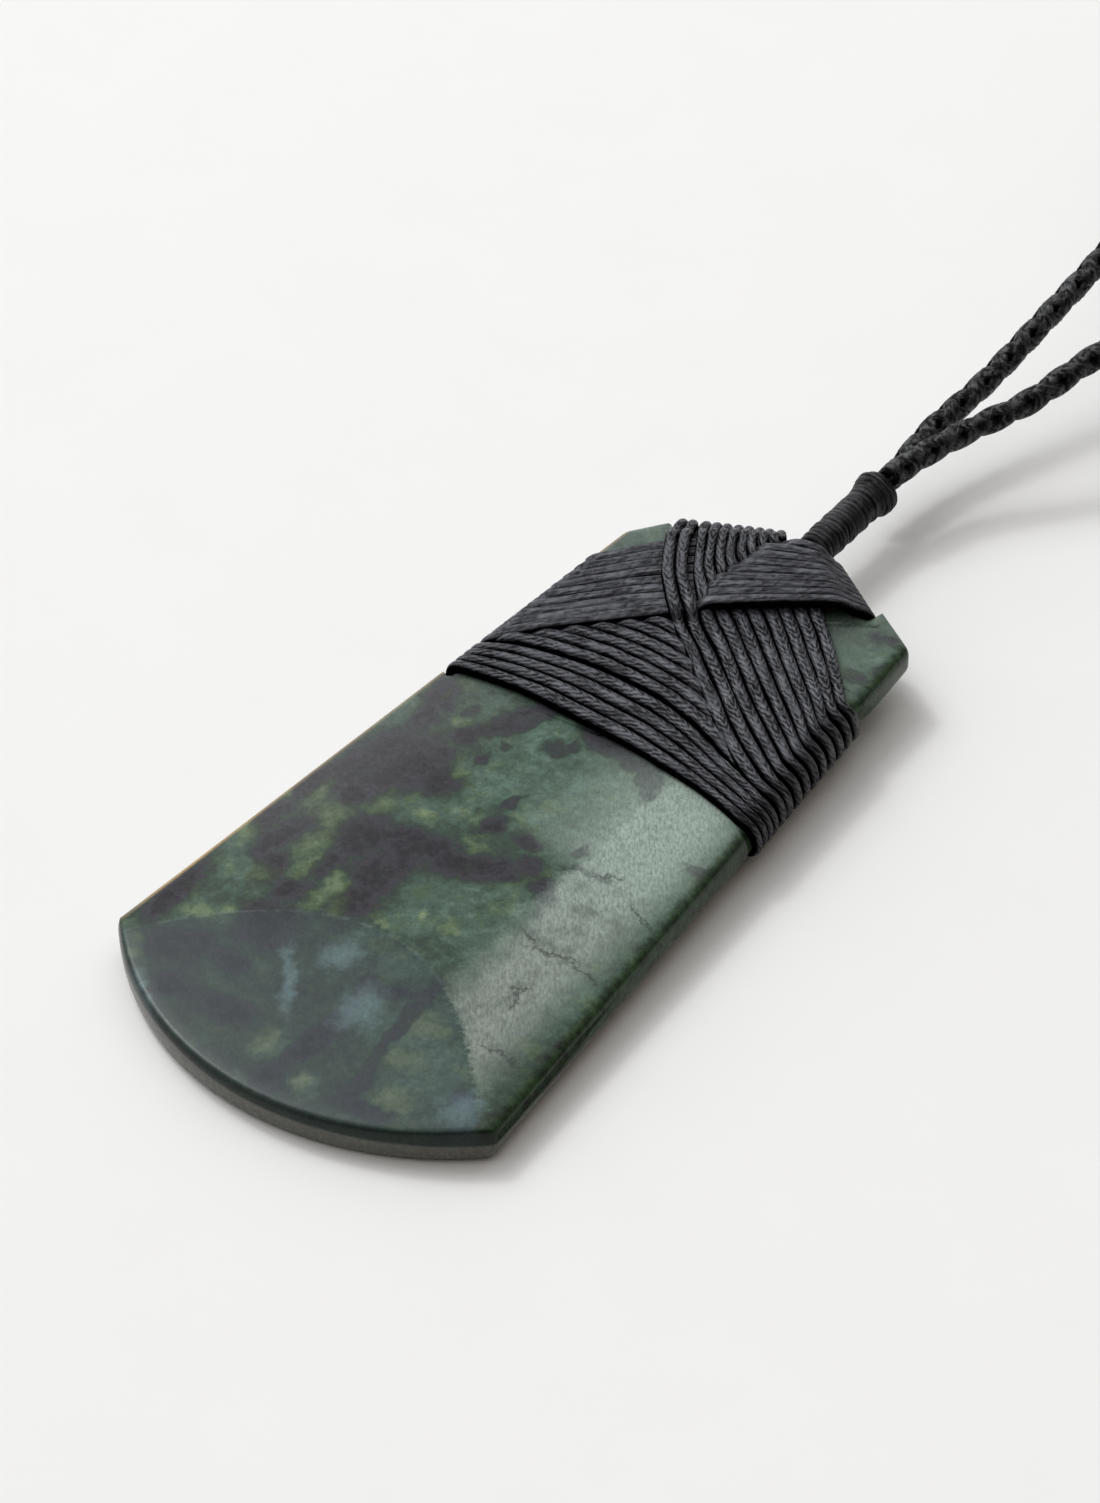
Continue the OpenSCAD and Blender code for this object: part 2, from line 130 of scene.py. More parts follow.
# Node helpers
class Nodes:
    """Short ways to build the node tree of a material or of the world."""

    def __init__(self, owner):
        owner.use_nodes = True
        self.owner = owner
        self.tree = owner.node_tree
        self.shader = self.tree.nodes.get("Principled BSDF")

    def add(self, kind, inputs=None, **settings):
        node = self.tree.nodes.new("ShaderNode" + kind)
        for key, value in settings.items():
            setattr(node, key, value)
        for key, value in (inputs or {}).items():
            self.put(node.inputs[key], value)
        return node

    def put(self, socket, value):
        if isinstance(value, bpy.types.NodeSocket):
            self.tree.links.new(value, socket)
        else:
            socket.default_value = value

    def surface(self, key, value):
        self.put(self.shader.inputs[key], value)

    def join(self, x, y, z):
        return self.add("CombineXYZ", {0: x, 1: y, 2: z}).outputs[0]

    def drawn(self, at, turn, scale, location=(0, 0, 0)):
        """Coordinates turned by degrees round location and drawn out by scale."""
        return self.add("Mapping", {
            "Vector": at, "Location": location, "Rotation": (0, 0, math.radians(turn)), "Scale": scale,
        }, vector_type="TEXTURE").outputs[0]

    def math(self, operation, a, b=0.0, c=0.0):
        return self.add("Math", {0: a, 1: b, 2: c}, operation=operation).outputs[0]

    def times(self, a, b):
        return self.math("MULTIPLY", a, b)

    def plus(self, a, b):
        return self.math("ADD", a, b)

    def minus(self, a, b):
        return self.math("SUBTRACT", a, b)

    def line(self, a, slope, start):
        return self.math("MULTIPLY_ADD", a, slope, start)

    def frayed(self, value, cloud, amount):
        """The value moved up and down by noise, half the amount either way."""
        return self.plus(value, self.line(cloud, amount, -amount / 2))

    def vector(self, operation, a, b=(0, 0, 0)):
        node = self.add("VectorMath", {0: a, 1: b}, operation=operation)
        return node.outputs["Value" if operation in ("LENGTH", "DOT_PRODUCT") else "Vector"]

    def scaled(self, a, factor):
        return self.vector("MULTIPLY", a, (factor,) * 3)

    def noise(self, at, scale, detail=4.0, rough=0.55, colour=False):
        node = self.add("TexNoise", {"Vector": at, "Scale": scale, "Detail": detail, "Roughness": rough})
        return node.outputs["Color" if colour else "Fac"]

    def ramp(self, value, low, high, to_low=0.0, to_high=1.0):
        """Smooth step from to_low at low to to_high at high; low may be above high."""
        node = self.add("MapRange", {
            "Value": value, "From Min": low, "From Max": high, "To Min": to_low, "To Max": to_high,
        })
        node.interpolation_type = "SMOOTHSTEP"
        return node.outputs["Result"]

    def mix(self, factor, a, b, blend="MIX"):
        node = self.add("Mix", data_type="RGBA", blend_type=blend)
        self.put(node.inputs["Factor"], factor)
        for socket, value in ((node.inputs[6], a), (node.inputs[7], b)):
            self.put(socket, (*value, 1) if isinstance(value, tuple) else value)
        return node.outputs[2]

    def shade(self, colour, amount):
        """The colour made lighter or darker by a factor."""
        return self.mix(1.0, colour, self.join(amount, amount, amount), "MULTIPLY")

    def bump(self, height, distance, strength, normal=None):
        inputs = {"Height": height, "Distance": distance, "Strength": strength}
        if normal is not None:
            inputs["Normal"] = normal
        return self.add("Bump", inputs).outputs["Normal"]


def srgb(r, g, b):
    """A colour written as 0 to 255 picture values, as the shader wants it."""
    def linear(v):
        v /= 255
        return v / 12.92 if v <= 0.04045 else ((v + 0.055) / 1.055) ** 2.4
    return (linear(r), linear(g), linear(b))


# Materials
def design_coordinates(n):
    """Object coordinates in design millimetres."""
    at = n.add("TexCoord").outputs["Object"]
    return n.vector("ADD", n.scaled(at, 1 / MM), (0, MID_Y, 0))


VEIN_DEG = 62  # the way the stone's streaks are drawn out
BRUSH_DEG = 127  # the way the brushed streaks run, strongest where the sheen is painted
BEND = 0.6  # how far noise moves the patches' outlines
BEND_SCALES = (0.3, 1.1)
# Patches of the stone's mottling, seen from the front: x, y, two radii, and the
# turn in degrees. They run through the stone, and noise frays their outlines.
DARK_PATCHES = [
    (-15.2, 38.6, 1.5, 2.6, 0), (-14.2, 34.6, 0.9, 2, 10), (-11.1, 37.4, 0.8, 0.9, 0),
    (-13.2, 36.6, 0.9, 0.7, 0), (-7.2, 38.2, 1.2, 4.8, -34), (-9.4, 34.2, 0.8, 1.2, -20),
    (-5.9, 35.2, 0.5, 0.6, 0), (-6.6, 32.8, 0.4, 1, 0), (-1.9, 37.1, 1.3, 1, 15),
    (-0.6, 38.3, 0.8, 0.6, 0), (1.5, 40.6, 2.8, 1.4, -8), (4.3, 39.8, 1.4, 0.9, 0),
    (6.5, 38.9, 2.3, 1.3, -35), (7.9, 37.3, 0.8, 1, 0), (-12.4, 28.2, 3.9, 4.6, 15),
    (-8, 28.4, 2.7, 2, 10), (-14.6, 25.2, 2.3, 2.3, 0), (-10.4, 31, 1.7, 1.4, 0),
    (-16.9, 22.4, 1.1, 2.6, 0), (-13.2, 22.9, 1.9, 1.3, 0), (-17, 17, 1, 3, 0),
    (-14.6, 15.6, 1.1, 3.2, -8), (-12.9, 11.8, 1.3, 2.4, 10), (-9, 19.3, 2.3, 2.5, 0),
    (-5.6, 20.8, 2.7, 1.7, 10), (-4.8, 16.8, 2.3, 3.5, -12), (-4.4, 12.8, 2, 1.8, 0),
    (-9.2, 14.6, 0.9, 2.3, 0), (-9.8, 10.6, 1.3, 1.6, 0), (-2.6, 21.6, 1.7, 1.1, 0),
    (0.6, 21, 3.5, 1.6, 12), (3.6, 22.4, 1.8, 1.2, 10), (5, 24.2, 1.3, 0.9, 15),
    (7.6, 22.6, 1.4, 1.2, -20), (3.3, 26.4, 1.6, 0.8, 10), (7.1, 27.9, 0.6, 1, 0),
    (9.6, 26.3, 2.4, 0.4, 12), (-1, 29.6, 0.5, 1.6, -10), (-0.6, 26.4, 0.9, 1.2, 0),
    (-8.8, 6.6, 2.7, 2.4, 0), (-13.2, 0.8, 2.9, 1.7, 25), (-10.6, -2.8, 2.2, 1.1, 0),
    (-5.6, -2.6, 2.6, 1.3, 8), (-17.6, 5.6, 1.3, 4.6, 0), (-8.6, 1.6, 1.5, 1.2, 0),
    (2.4, -1.6, 1.1, 4.7, -6), (1.9, -6.2, 1.4, 1.4, 0), (7.2, 4.6, 0.7, 4.5, 3), (8.3, -2.8, 1, 2.3, 8),
    (10.2, -4.8, 2.3, 1, 10), (4.6, 6.2, 1.6, 0.7, 25), (2.4, 5.4, 0.5, 1.6, 0), (15.8, 0.2, 1, 1, 0),
    (17.8, 35.4, 0.8, 3.9, 4), (16.3, 31.8, 1.3, 0.6, -15), (18.5, 21.4, 0.5, 1, 0),
    (19.3, 8, 0.7, 2.7, 0), (19, 15.8, 0.4, 1, 0), (15.4, 62.8, 1, 1.9, -30), (13.6, 60.2, 1.2, 0.9, 0),
    (13, 66.4, 1.3, 0.6, 10), (-6, 68, 5, 2, 20),
]
# Pale patches of the stone; the widest ones, over the upper middle and the right part of the face, also
# paint part of the pale sheen there.
PALE_AND_SHEEN_PATCHES = [
    (-10.2, 38.8, 1.8, 2.1, 0), (-3.6, 38.4, 3.1, 3.1, 0), (0.6, 34.4, 6.8, 5.6, 0),
    (-4.2, 31, 3.1, 2.9, 0), (5.4, 35.6, 4.6, 4.6, 0), (1.2, 29.6, 2, 2.4, 0), (-3.4, 26, 1.4, 1.2, 0),
    (2.9, 17.4, 4.8, 2.8, 14), (6.4, 20.4, 2.5, 1.9, 0), (6.8, 15.2, 2.8, 3.2, 0), (1, 13.6, 2.4, 1.9, 0),
    (-16.4, 33.4, 1.2, 5.2, 0), (-17.4, 14, 1, 2.2, 0), (-7, 24.6, 3, 1.6, 0), (-14.2, 9.8, 2.6, 2.2, 0),
    (-13.6, 5, 3, 1.4, 20), (-1.4, 9, 1.6, 1.2, 0), (11.6, -1, 3.8, 3.2, 20), (9.4, 3.8, 2.6, 2.9, 0),
    (13.4, 3.2, 2.4, 2.2, 0), (5, -5.6, 1.2, 1.1, 0), (0, -3.6, 1.3, 1.9, 0),
    (-15.6, -1.4, 1.2, 0.6, -32), (13.6, 61.6, 2.6, 3.8, 0), (5.4, 3, 1.8, 2.2, 0), (3.2, 9.2, 2, 1.6, 0),
    (-6.8, 13, 1.6, 1.6, 0), (-13, 65, 3, 3, 0), (18.6, 26, 0.8, 6, 0), (-15, 44, 6, 5, 0),
    (11.6, 31, 7, 9, 0), (12.6, 15, 5, 8, 0),
]
YELLOW_PATCHES = [
    (-15.6, 21.4, 0.9, 2, 4), (-12.7, 19.8, 2, 1.4, -8), (-11.7, 16.6, 1.2, 2.7, -12),
    (-10.3, 13.8, 1.1, 2, 0), (-10.1, 23.2, 1.1, 1.3, 0), (-10.4, 25, 0.5, 0.8, 0),
    (-6.2, 24.4, 1.2, 0.7, 0), (-0.3, 23.5, 1.3, 0.6, -10), (-7.6, 14, 0.8, 0.7, 0),
    (-6.6, 12.8, 1.4, 1, 0), (-7.4, 11, 1, 1.4, 0), (-5.1, 11.3, 0.9, 1.3, 0), (1.2, 14.2, 0.3, 0.7, 0),
    (4, 14.4, 0.9, 1.1, 0), (-0.4, 11.8, 1, 0.5, 0), (-13, 11.2, 1.2, 1.2, -20),
    (-14.6, 4.6, 1.6, 0.8, 20), (-12.6, 5.8, 0.8, 0.6, 0), (9, 4.8, 1.8, 1.4, 0), (9.6, 1, 1.6, 1.1, 10),
    (11.4, -2.6, 1.7, 1.1, 10), (-0.5, -3.6, 0.8, 1.2, 0), (4.7, -5.6, 0.7, 0.9, 0),
    (-16, -1.4, 1.8, 0.7, -32), (-18.2, 20.4, 0.5, 1.3, 0), (-17.4, 14.4, 0.9, 1.5, 0),
    (-10.8, 35.6, 1, 0.8, 0), (-14.7, 38.2, 0.4, 1.3, 0), (-14.2, 40.4, 0.7, 0.9, 0),
    (-6.8, 30.4, 0.8, 0.7, 0), (18.9, 12.4, 0.5, 1.6, 0), (18.8, 18.6, 0.4, 1.4, 0),
    (19.3, 5.2, 0.5, 0.9, 0), (16.2, 64.8, 1, 1.6, 0), (18.7, 27, 0.5, 4, 0),
]
BLUE_PATCHES = [
    (-1.4, 7, 1.6, 1.3, 0), (-3.2, 2.6, 0.6, 3.4, 40), (3.4, 3.4, 1.5, 2.3, 0), (16.6, -0.6, 1.5, 1.8, 0),
    (9.8, 21.4, 1.3, 2.6, 0), (-12.6, -5, 2.4, 0.8, -28),
]
PATCHES = {"dark": DARK_PATCHES, "pale": PALE_AND_SHEEN_PATCHES, "yellow": YELLOW_PATCHES, "blue": BLUE_PATCHES}
# Hairline cracks and worn lines on the right part of the face, as thin patches.
CRACKS = [
    (12.4, 17, 2.6, 0.16, 14), (15.8, 16.8, 2.2, 0.12, -10), (11, 27.2, 1.4, 0.16, 30),
    (16, 24.6, 2.4, 0.12, -18), (15.2, 5.8, 1.5, 0.2, 12), (17, 5.6, 0.9, 0.22, -14),
    (13, 11.6, 0.16, 1.3, 20), (10.2, 17.2, 1.4, 0.1, -30), (12.6, 12.6, 0.8, 0.14, 20),
]


def patch_field(points, table):
    """1 in the middle of the nearest elliptical patch, 0 on its outline, less outside."""
    nearest = np.full(len(points), -9.0)
    for x, y, radius_x, radius_y, turn in table:
        c, s = math.cos(math.radians(turn)), math.sin(math.radians(turn))
        dx, dy = points[:, 0] - x, points[:, 1] - y
        along = (dx * c + dy * s) / radius_x
        across = (dy * c - dx * s) / radius_y
        nearest = np.maximum(nearest, 1 - np.hypot(along, across))
    return nearest


def patch_nodes(n, at, table):
    """The same as nodes, for a short table."""
    nearest = None
    for x, y, radius_x, radius_y, turn in table:
        local = n.drawn(at, turn, (radius_x, radius_y, 60), (x, y, 0))
        inside = n.minus(1.0, n.vector("LENGTH", local))
        nearest = inside if nearest is None else n.math("MAXIMUM", nearest, inside)
    return nearest


def paint_patches(mesh):
    """Stores the sets of patches on the stone's points, their outlines bent by noise."""
    points = np.empty(len(mesh.vertices) * 3)
    mesh.vertices.foreach_get("co", points)
    points = points.reshape(-1, 3) / MM + [0, MID_Y, 0]
    bent = np.array([
        Vector(p) + sum((BEND * noise.noise_vector(Vector(p) * k) for k in BEND_SCALES), Vector())
        for p in points
    ])
    for name, table in PATCHES.items():
        layer = mesh.attributes.new(name, "FLOAT", "POINT")
        layer.data.foreach_set("value", patch_field(bent, table).astype(np.float32))


def sheen_mask(n, x, y, curve, cloud, grain):
    """Where a pale sheen is painted on the face: its right part, and its upper part below the lashing."""
    wide = n.ramp(y, 22.0, 17.0)
    edge = n.frayed(n.frayed(x, cloud, 2.8), grain, 1.6)
    lower = n.ramp(edge, n.line(wide, -0.8, 7.0), n.line(wide, 2.2, 8.8))
    lower = n.times(lower, n.ramp(n.line(grain, 2.4, curve), 0.6, 1.9))
    upper = n.times(n.ramp(y, 25.0, 29.0), n.ramp(x, -1.0, 12.5))
    beside = n.times(n.ramp(x, 18.5, 13.2), n.ramp(y, 54.0, 48.0, 0.18, 1.0))
    return n.times(n.math("MAXIMUM", lower, upper), beside)


def stone_tone(n, clouds, streaks, feather, fields):
    """From 0, nearly black, to 1, the palest green: the patches, blended by noise."""
    tone = n.line(clouds, 0.6, 0.2)
    tone = n.frayed(n.frayed(tone, streaks, 0.46), feather, 0.66)
    tone = n.plus(tone, n.ramp(fields["pale"], -0.7, 0.7, 0, 0.24))
    tone = n.plus(tone, n.ramp(fields["yellow"], -0.4, 0.8, 0, 0.2))
    dark = n.ramp(n.frayed(n.frayed(fields["dark"], streaks, 1.5), feather, 1.3), -0.42, 0.4)
    return n.line(dark, -0.44, tone), dark


def tone_ramp(n, tone, stops):
    """A smooth row of colours over the tone; stops lists tone, red, green and blue."""
    colour = srgb(*stops[0][1:])
    for low, high in zip(stops, stops[1:]):
        colour = n.mix(n.ramp(tone, low[0], high[0]), colour, srgb(*high[1:]))
    return colour


def stone_colour(n, at, moved, x, y, bevel, veins, feather, sheen_area):
    """Mottled greens with moss and blue patches, with a grey reflection painted at the upper left, painted
    shade on the bevel and a painted pale sheen where the face would catch the light.
    """
    fields = {name: n.add("Attribute", attribute_name=name).outputs["Fac"] for name in PATCHES}
    clouds = n.noise(moved, 0.3, 5, 0.6)
    streaks = n.noise(n.drawn(moved, VEIN_DEG, (2.6, 0.95, 1.6)), 1.0, 6, 0.62)
    tone, dark = stone_tone(n, clouds, streaks, feather, fields)
    green = tone_ramp(n, tone, [
        (0.0, 38, 37, 42), (0.2, 56, 55, 61), (0.34, 50, 57, 56), (0.5, 53, 69, 58),
        (0.68, 70, 90, 78), (0.86, 90, 112, 100), (1.05, 116, 136, 126),
    ])
    moss = tone_ramp(n, tone, [
        (0.1, 44, 47, 42), (0.35, 52, 63, 47), (0.6, 72, 89, 62), (0.85, 98, 114, 84),
        (1.1, 130, 144, 112),
    ])
    mossy = n.ramp(n.frayed(fields["yellow"], feather, 1.2), -0.5, 0.4, 0, 0.9)
    mossy = n.math("MAXIMUM", mossy, n.ramp(veins, 0.5, 0.66, 0, 0.75))
    colour = n.mix(mossy, green, moss)
    # painted shade: the bevel painted bluer and darker, for the less light it reflects than the face
    colour = n.mix(n.times(bevel, 0.3), colour, srgb(64, 79, 86))
    colour = n.shade(colour, n.line(bevel, -0.2, 1.0))
    blue = n.ramp(n.frayed(fields["blue"], feather, 1.6), -0.7, 0.8, 0, 0.55)
    colour = n.mix(blue, colour, srgb(104, 126, 130))
    # painted reflection: a grey veil painted over the upper left of the face, for the bright side of the
    # room reflected there
    reflection_haze = n.ramp(n.line(y, -0.12, x), -8.0, -20.0, 0, 0.22)
    colour = n.mix(n.times(reflection_haze, n.ramp(y, 4.0, 22.0)), colour, srgb(122, 122, 124))
    # painted highlight: pale colours painted where the face would reflect the bright light, greener higher
    # up, with the stone's dark patches and smudges showing through
    sheen_tone = n.mix(n.ramp(y, 13.0, 31.0), srgb(131, 140, 132), srgb(147, 162, 152))
    sheen_tone = n.mix(n.times(dark, 0.6), sheen_tone, srgb(92, 100, 98))
    smudges = n.ramp(n.noise(at, 0.55, 7, 0.7), 0.47, 0.66, 0, 0.62)
    sheen_tone = n.mix(n.times(smudges, n.ramp(y, 31.0, 22.0)), sheen_tone, srgb(80, 89, 84))
    return n.mix(n.times(sheen_area, 0.95), colour, sheen_tone)


def edge_colours(n, colour, x, y, height, curve, feather):
    """Painted light on the edges: a warm painted highlight on the left rim, painted dark green shade on the
    right one, a pale painted highlight on the bevel's line, painted dark shade on the cutting edge's
    rounding and a pale painted reflection of the floor low on the walls.
    """
    side = n.line(y, -(STONE_W - SHOULDER_W) / 2 / SHOULDER_Y, STONE_W / 2)
    # painted highlight: a warm line painted along the left edge, for light caught at its rim
    rim_highlight = n.times(n.ramp(n.plus(x, side), 0.95, 0.5), n.ramp(height, 3.4, 3.8))
    rim_highlight = n.times(rim_highlight, n.ramp(y, 24.0, 8.0, 0.3, 0.8))
    colour = n.mix(rim_highlight, colour, srgb(186, 152, 98))

    # painted shade: the rounding and wall along the right side painted dark green, for the side turned from
    # the light
    from_right = n.frayed(n.minus(side, x), feather, 1.2)
    shade_colour = n.mix(n.ramp(feather, 0.36, 0.64), srgb(24, 33, 24), srgb(50, 74, 44))
    colour = n.mix(n.ramp(from_right, 1.3, 0.4, 0, 0.85), colour, shade_colour)

    # painted highlight: a pale line painted along the bevel's edge, where its gloss changes
    line = n.times(n.ramp(n.math("ABSOLUTE", curve), 0.3, 0.0), n.ramp(feather, 0.35, 0.65, 0, 0.14))
    colour = n.mix(n.times(line, n.ramp(x, 13.0, 9.0)), colour, srgb(150, 165, 165))

    # painted shade: a dark band painted on the rounding along the cutting edge
    arm_x = n.minus(x, EDGE_SHIFT)
    arm_y = n.minus(y, EDGE_R - EDGE_SAG)
    from_cut = n.minus(EDGE_R, n.vector("LENGTH", n.join(arm_x, arm_y, 0.0)))
    cut = n.times(n.ramp(from_cut, 0.38, 0.12), n.ramp(y, 1.5, 0.5))
    colour = n.mix(n.times(cut, 0.62), colour, srgb(20, 26, 22))
    # painted reflection: the lower part of the walls painted pale grey, for the bright floor reflected
    # there
    strip = n.minus(height, n.ramp(x, 2.0, -12.0, 0, 0.45))
    floor_reflection = n.times(n.ramp(strip, 2.2, 1.8), n.ramp(height, 0.1, 0.35))
    grey = n.mix(feather, srgb(92, 92, 87), srgb(110, 110, 104))
    return n.mix(n.times(floor_reflection, 0.85), colour, grey)


def stone_material():
    """Polished mottled stone with a painted pale sheen where it is also rougher, hairline cracks and fine
    specks.
    """
    n = Nodes(bpy.data.materials.new("greenstone"))
    at = design_coordinates(n)
    cloudy = n.vector("SUBTRACT", n.noise(at, 0.9, 5, 0.65, colour=True), (0.5, 0.5, 0.5))
    moved = n.vector("ADD", at, n.scaled(cloudy, 2.4))
    veins = n.noise(moved, 0.45, 7, 0.66)
    feather = n.noise(at, 1.0, 8, 0.7)
    fine = n.noise(at, 2.2, 6, 0.66)
    x, y, height = n.add("SeparateXYZ", {0: at}).outputs

    # the ground bevel ends along a curve, because the front is crowned
    bow = n.line(n.times(x, x), -1 / (2 * CROWN_R * BEVEL_SLOPE), BEVEL_Y)
    curve = n.minus(y, bow)
    bevel = n.ramp(curve, 0.35, -0.3)
    # painted sheen: where the pale sheen is painted; the face is also made rougher there
    sheen_area = sheen_mask(n, x, y, curve, veins, fine)
    colour = stone_colour(n, at, moved, x, y, bevel, veins, feather, sheen_area)

    crack_at = patch_nodes(n, moved, CRACKS)
    cracks = n.ramp(n.frayed(crack_at, fine, 2.6), -0.25, 0.7)
    colour = n.mix(n.times(cracks, 0.6), colour, srgb(56, 63, 58))
    colour = edge_colours(n, colour, x, y, height, curve, feather)

    brushed = n.noise(n.drawn(at, BRUSH_DEG, (0.6, 0.2, 1.0)), 1.0, 5, 0.72)
    speckle = n.ramp(fine, 0.25, 0.75, 0.86, 1.14)
    sheen_tone = n.ramp(brushed, 0.3, 0.7, -0.34, 0.34)
    speckle = n.plus(speckle, n.times(sheen_tone, n.line(sheen_area, 0.75, 0.25)))
    n.surface("Base Color", n.shade(colour, speckle))

    rough = n.line(sheen_area, 0.12, n.ramp(fine, 0.3, 0.7, 0.22, 0.3))
    n.surface("Roughness", rough)
    n.surface("IOR", 1.6)
    n.surface("Specular IOR Level", 0.12)
    normal = n.bump(brushed, 0.00001, 0.5)
    normal = n.bump(fine, 0.00001, 0.5, normal)
    normal = n.bump(cracks, -0.00006, 0.9, normal)
    n.surface("Normal", normal)
    return n.owner


def cord_material(name, dark, light, rough, chevrons, pitch, groove, plies, shade_colour=(4, 4, 5), side_shade=0.0):
    """Waxed braided thread: slanting plies that meet along its crown, streaks, specks, and grooves painted
    dark as shade.

    chevrons is the plies' slant, pitch their length along the thread and plies how much they show.
    groove says how much of the section is painted dark as shade, and side_shade paints it darker beside the
    stone, as shade.
    """
    n = Nodes(bpy.data.materials.new(name))
    at = design_coordinates(n)
    strand_uv = n.add("UVMap", uv_map="strand").outputs["UV"]
    u, v, _ = n.add("SeparateXYZ", {0: strand_uv}).outputs
    wander = n.noise(at, 1.1, 3, 0.6)
    from_crown = n.math("ABSOLUTE", n.minus(v, 0.5))
    slant = n.line(from_crown, chevrons, n.times(wander, 1.8))
    wave = n.math("SINE", n.times(n.line(u, 1 / pitch, slant), 2 * math.pi))
    patchy = n.ramp(n.noise(at, 0.5, 4, 0.65), 0.36, 0.64, 0.3 * plies, plies)
    ply = n.line(n.times(wave, patchy), 0.5, 0.5)
    streak = n.noise(n.join(n.times(u, 0.45), n.times(v, 15.0), wander), 1.0, 5, 0.72)
    fibre = n.line(ply, 0.4, n.times(streak, 0.6))
    bright = n.ramp(fibre, 0.4, 0.64)
    colour = n.mix(bright, srgb(*dark), srgb(*light))
    specks = n.ramp(n.noise(at, 5.0, 2, 0.5), 0.64, 0.72)
    specks = n.times(specks, n.ramp(n.noise(at, 0.7, 2, 0.5), 0.46, 0.6))
    colour = n.mix(n.times(specks, 0.6), colour, srgb(110, 110, 115))
    # painted shade: the cord is painted darker beside the stone's right edge
    x = n.add("SeparateXYZ", {0: at}).outputs[0]
    colour = n.shade(colour, n.ramp(x, 15.2, 16.8, 1.0, 1.0 - side_shade))
    # the crown of a strand is at v = 0.5; the grooves beside it are painted dark as shade, wider in some
    # places
    height = n.times(n.math("COSINE", n.times(v, 2 * math.pi)), -1.0)
    widening = n.line(n.noise(at, 0.35, 3, 0.6), -0.7, 0.35)
    crown = n.ramp(n.minus(height, widening), groove - 0.3, groove + 0.26)
    n.surface("Base Color", n.mix(crown, srgb(*shade_colour), colour))
    gloss = n.times(crown, n.line(bright, 0.62, 0.06))
    n.surface("Specular IOR Level", gloss)
    n.surface("Roughness", n.ramp(fibre, 0.3, 0.65, rough + 0.1, rough - 0.08))
    normal = n.bump(ply, 0.00012, 1.0)
    n.surface("Normal", n.bump(streak, 0.00014, 1.0, normal))
    return n.owner


def floor_material():
    n = Nodes(bpy.data.materials.new("pale_board"))
    at = n.add("TexCoord").outputs["Object"]
    cloudy = n.mix(n.noise(at, 90, 4), srgb(239, 238, 236), srgb(242, 241, 240))
    n.surface("Base Color", cloudy)
    n.surface("Roughness", 0.8)
    n.surface("Specular IOR Level", 0.1)
    return n.owner


STONE = stone_material()
LASHING = cord_material(
    "waxed_cord", (12, 12, 15), (80, 81, 90), 0.4,
    chevrons=8.0, pitch=0.95, groove=0.54, plies=0.36, side_shade=0.42,
)
FLAT_LASHING = cord_material(
    "flat_waxed_cord", (24, 24, 28), (82, 83, 92), 0.42,
    chevrons=4.0, pitch=1.3, groove=0.3, plies=0.16, shade_colour=(8, 8, 10),
)
THREAD = cord_material(
    "binding_thread", (12, 12, 14), (48, 48, 52), 0.36,
    chevrons=0.0, pitch=3.0, groove=0.4, plies=0.2,
)
PLAIT = cord_material(
    "plaited_thread", (12, 12, 14), (27, 27, 30), 0.42,
    chevrons=3.0, pitch=0.9, groove=0.1, plies=0.5, shade_colour=(13, 13, 15),
)


# Mesh helpers
def make_mesh(name, points, faces, material, uvs=None):
    """A smooth mesh from row-frame points; uvs holds one pair for each face corner."""
    mesh = bpy.data.meshes.new(name)
    mesh.from_pydata(points.tolist(), [], faces)
    mesh.polygons.foreach_set("use_smooth", np.ones(len(mesh.polygons), bool))
    if uvs is not None:
        layer = mesh.uv_layers.new(name="strand")
        layer.data.foreach_set("uv", uvs.astype(np.float32).ravel())
    mesh.materials.append(material)
    mesh.update()
    obj = new_object(name, mesh)
    return obj


def grid_faces(rows, columns, closed_rows=False):
    """Quads over a grid of points whose columns run round."""
    r = np.arange(rows if closed_rows else rows - 1)
    r, c = np.meshgrid(r, np.arange(columns), indexing="ij")
    low = r * columns
    high = (r + 1) % rows * columns
    c1 = (c + 1) % columns
    return np.stack([low + c, low + c1, high + c1, high + c], axis=-1).reshape(-1, 4)


def distances(points):
    return np.concatenate([[0], np.cumsum(np.linalg.norm(np.diff(points, axis=0), axis=1))])


def resample(path, step, closed=False):
    """Rows at even steps along a polyline, with their distances."""
    p = np.vstack([path, path[:1]]) if closed else np.asarray(path)
    gone = distances(p[:, :3])
    at = np.linspace(0, gone[-1], max(int(round(gone[-1] / step)), 4) + 1)
    out = np.stack([np.interp(at, gone, p[:, k]) for k in range(p.shape[1])], axis=1)
    return (out[:-1], at[:-1]) if closed else (out, at)


def soften(values, sigma, closed=False):
    """Gaussian smoothing along rows; open ends stay where they are."""
    reach = int(3 * sigma) + 1
    kernel = np.exp(-0.5 * (np.arange(-reach, reach + 1) / sigma) ** 2)
    kernel /= kernel.sum()
    if closed:
        padded = np.concatenate([values[-reach:], values, values[:reach]])
    else:
        before = 2 * values[0] - values[reach:0:-1]
        after = 2 * values[-1] - values[-2:-reach - 2:-1]
        padded = np.concatenate([before, values, after])
    return np.stack([np.convolve(padded[:, k], kernel, "valid") for k in range(values.shape[1])], axis=1)


def spline(points, count):
    """Catmull-Rom through the points, count + 1 samples."""
    p = np.asarray(points, float)
    n = len(p) - 1
    u = np.linspace(0, n, count + 1)
    i = np.minimum(u.astype(int), n - 1)
    t = (u - i)[:, None]
    p0, p1, p2, p3 = p[np.maximum(i - 1, 0)], p[i], p[i + 1], p[np.minimum(i + 2, n)]
    return 0.5 * (2 * p1 + (p2 - p0) * t + (2 * p0 - 5 * p1 + 4 * p2 - p3) * t ** 2
                  + (3 * p1 - p0 - 3 * p2 + p3) * t ** 3)


def unit_rows(v):
    return v / np.linalg.norm(v, axis=1, keepdims=True)


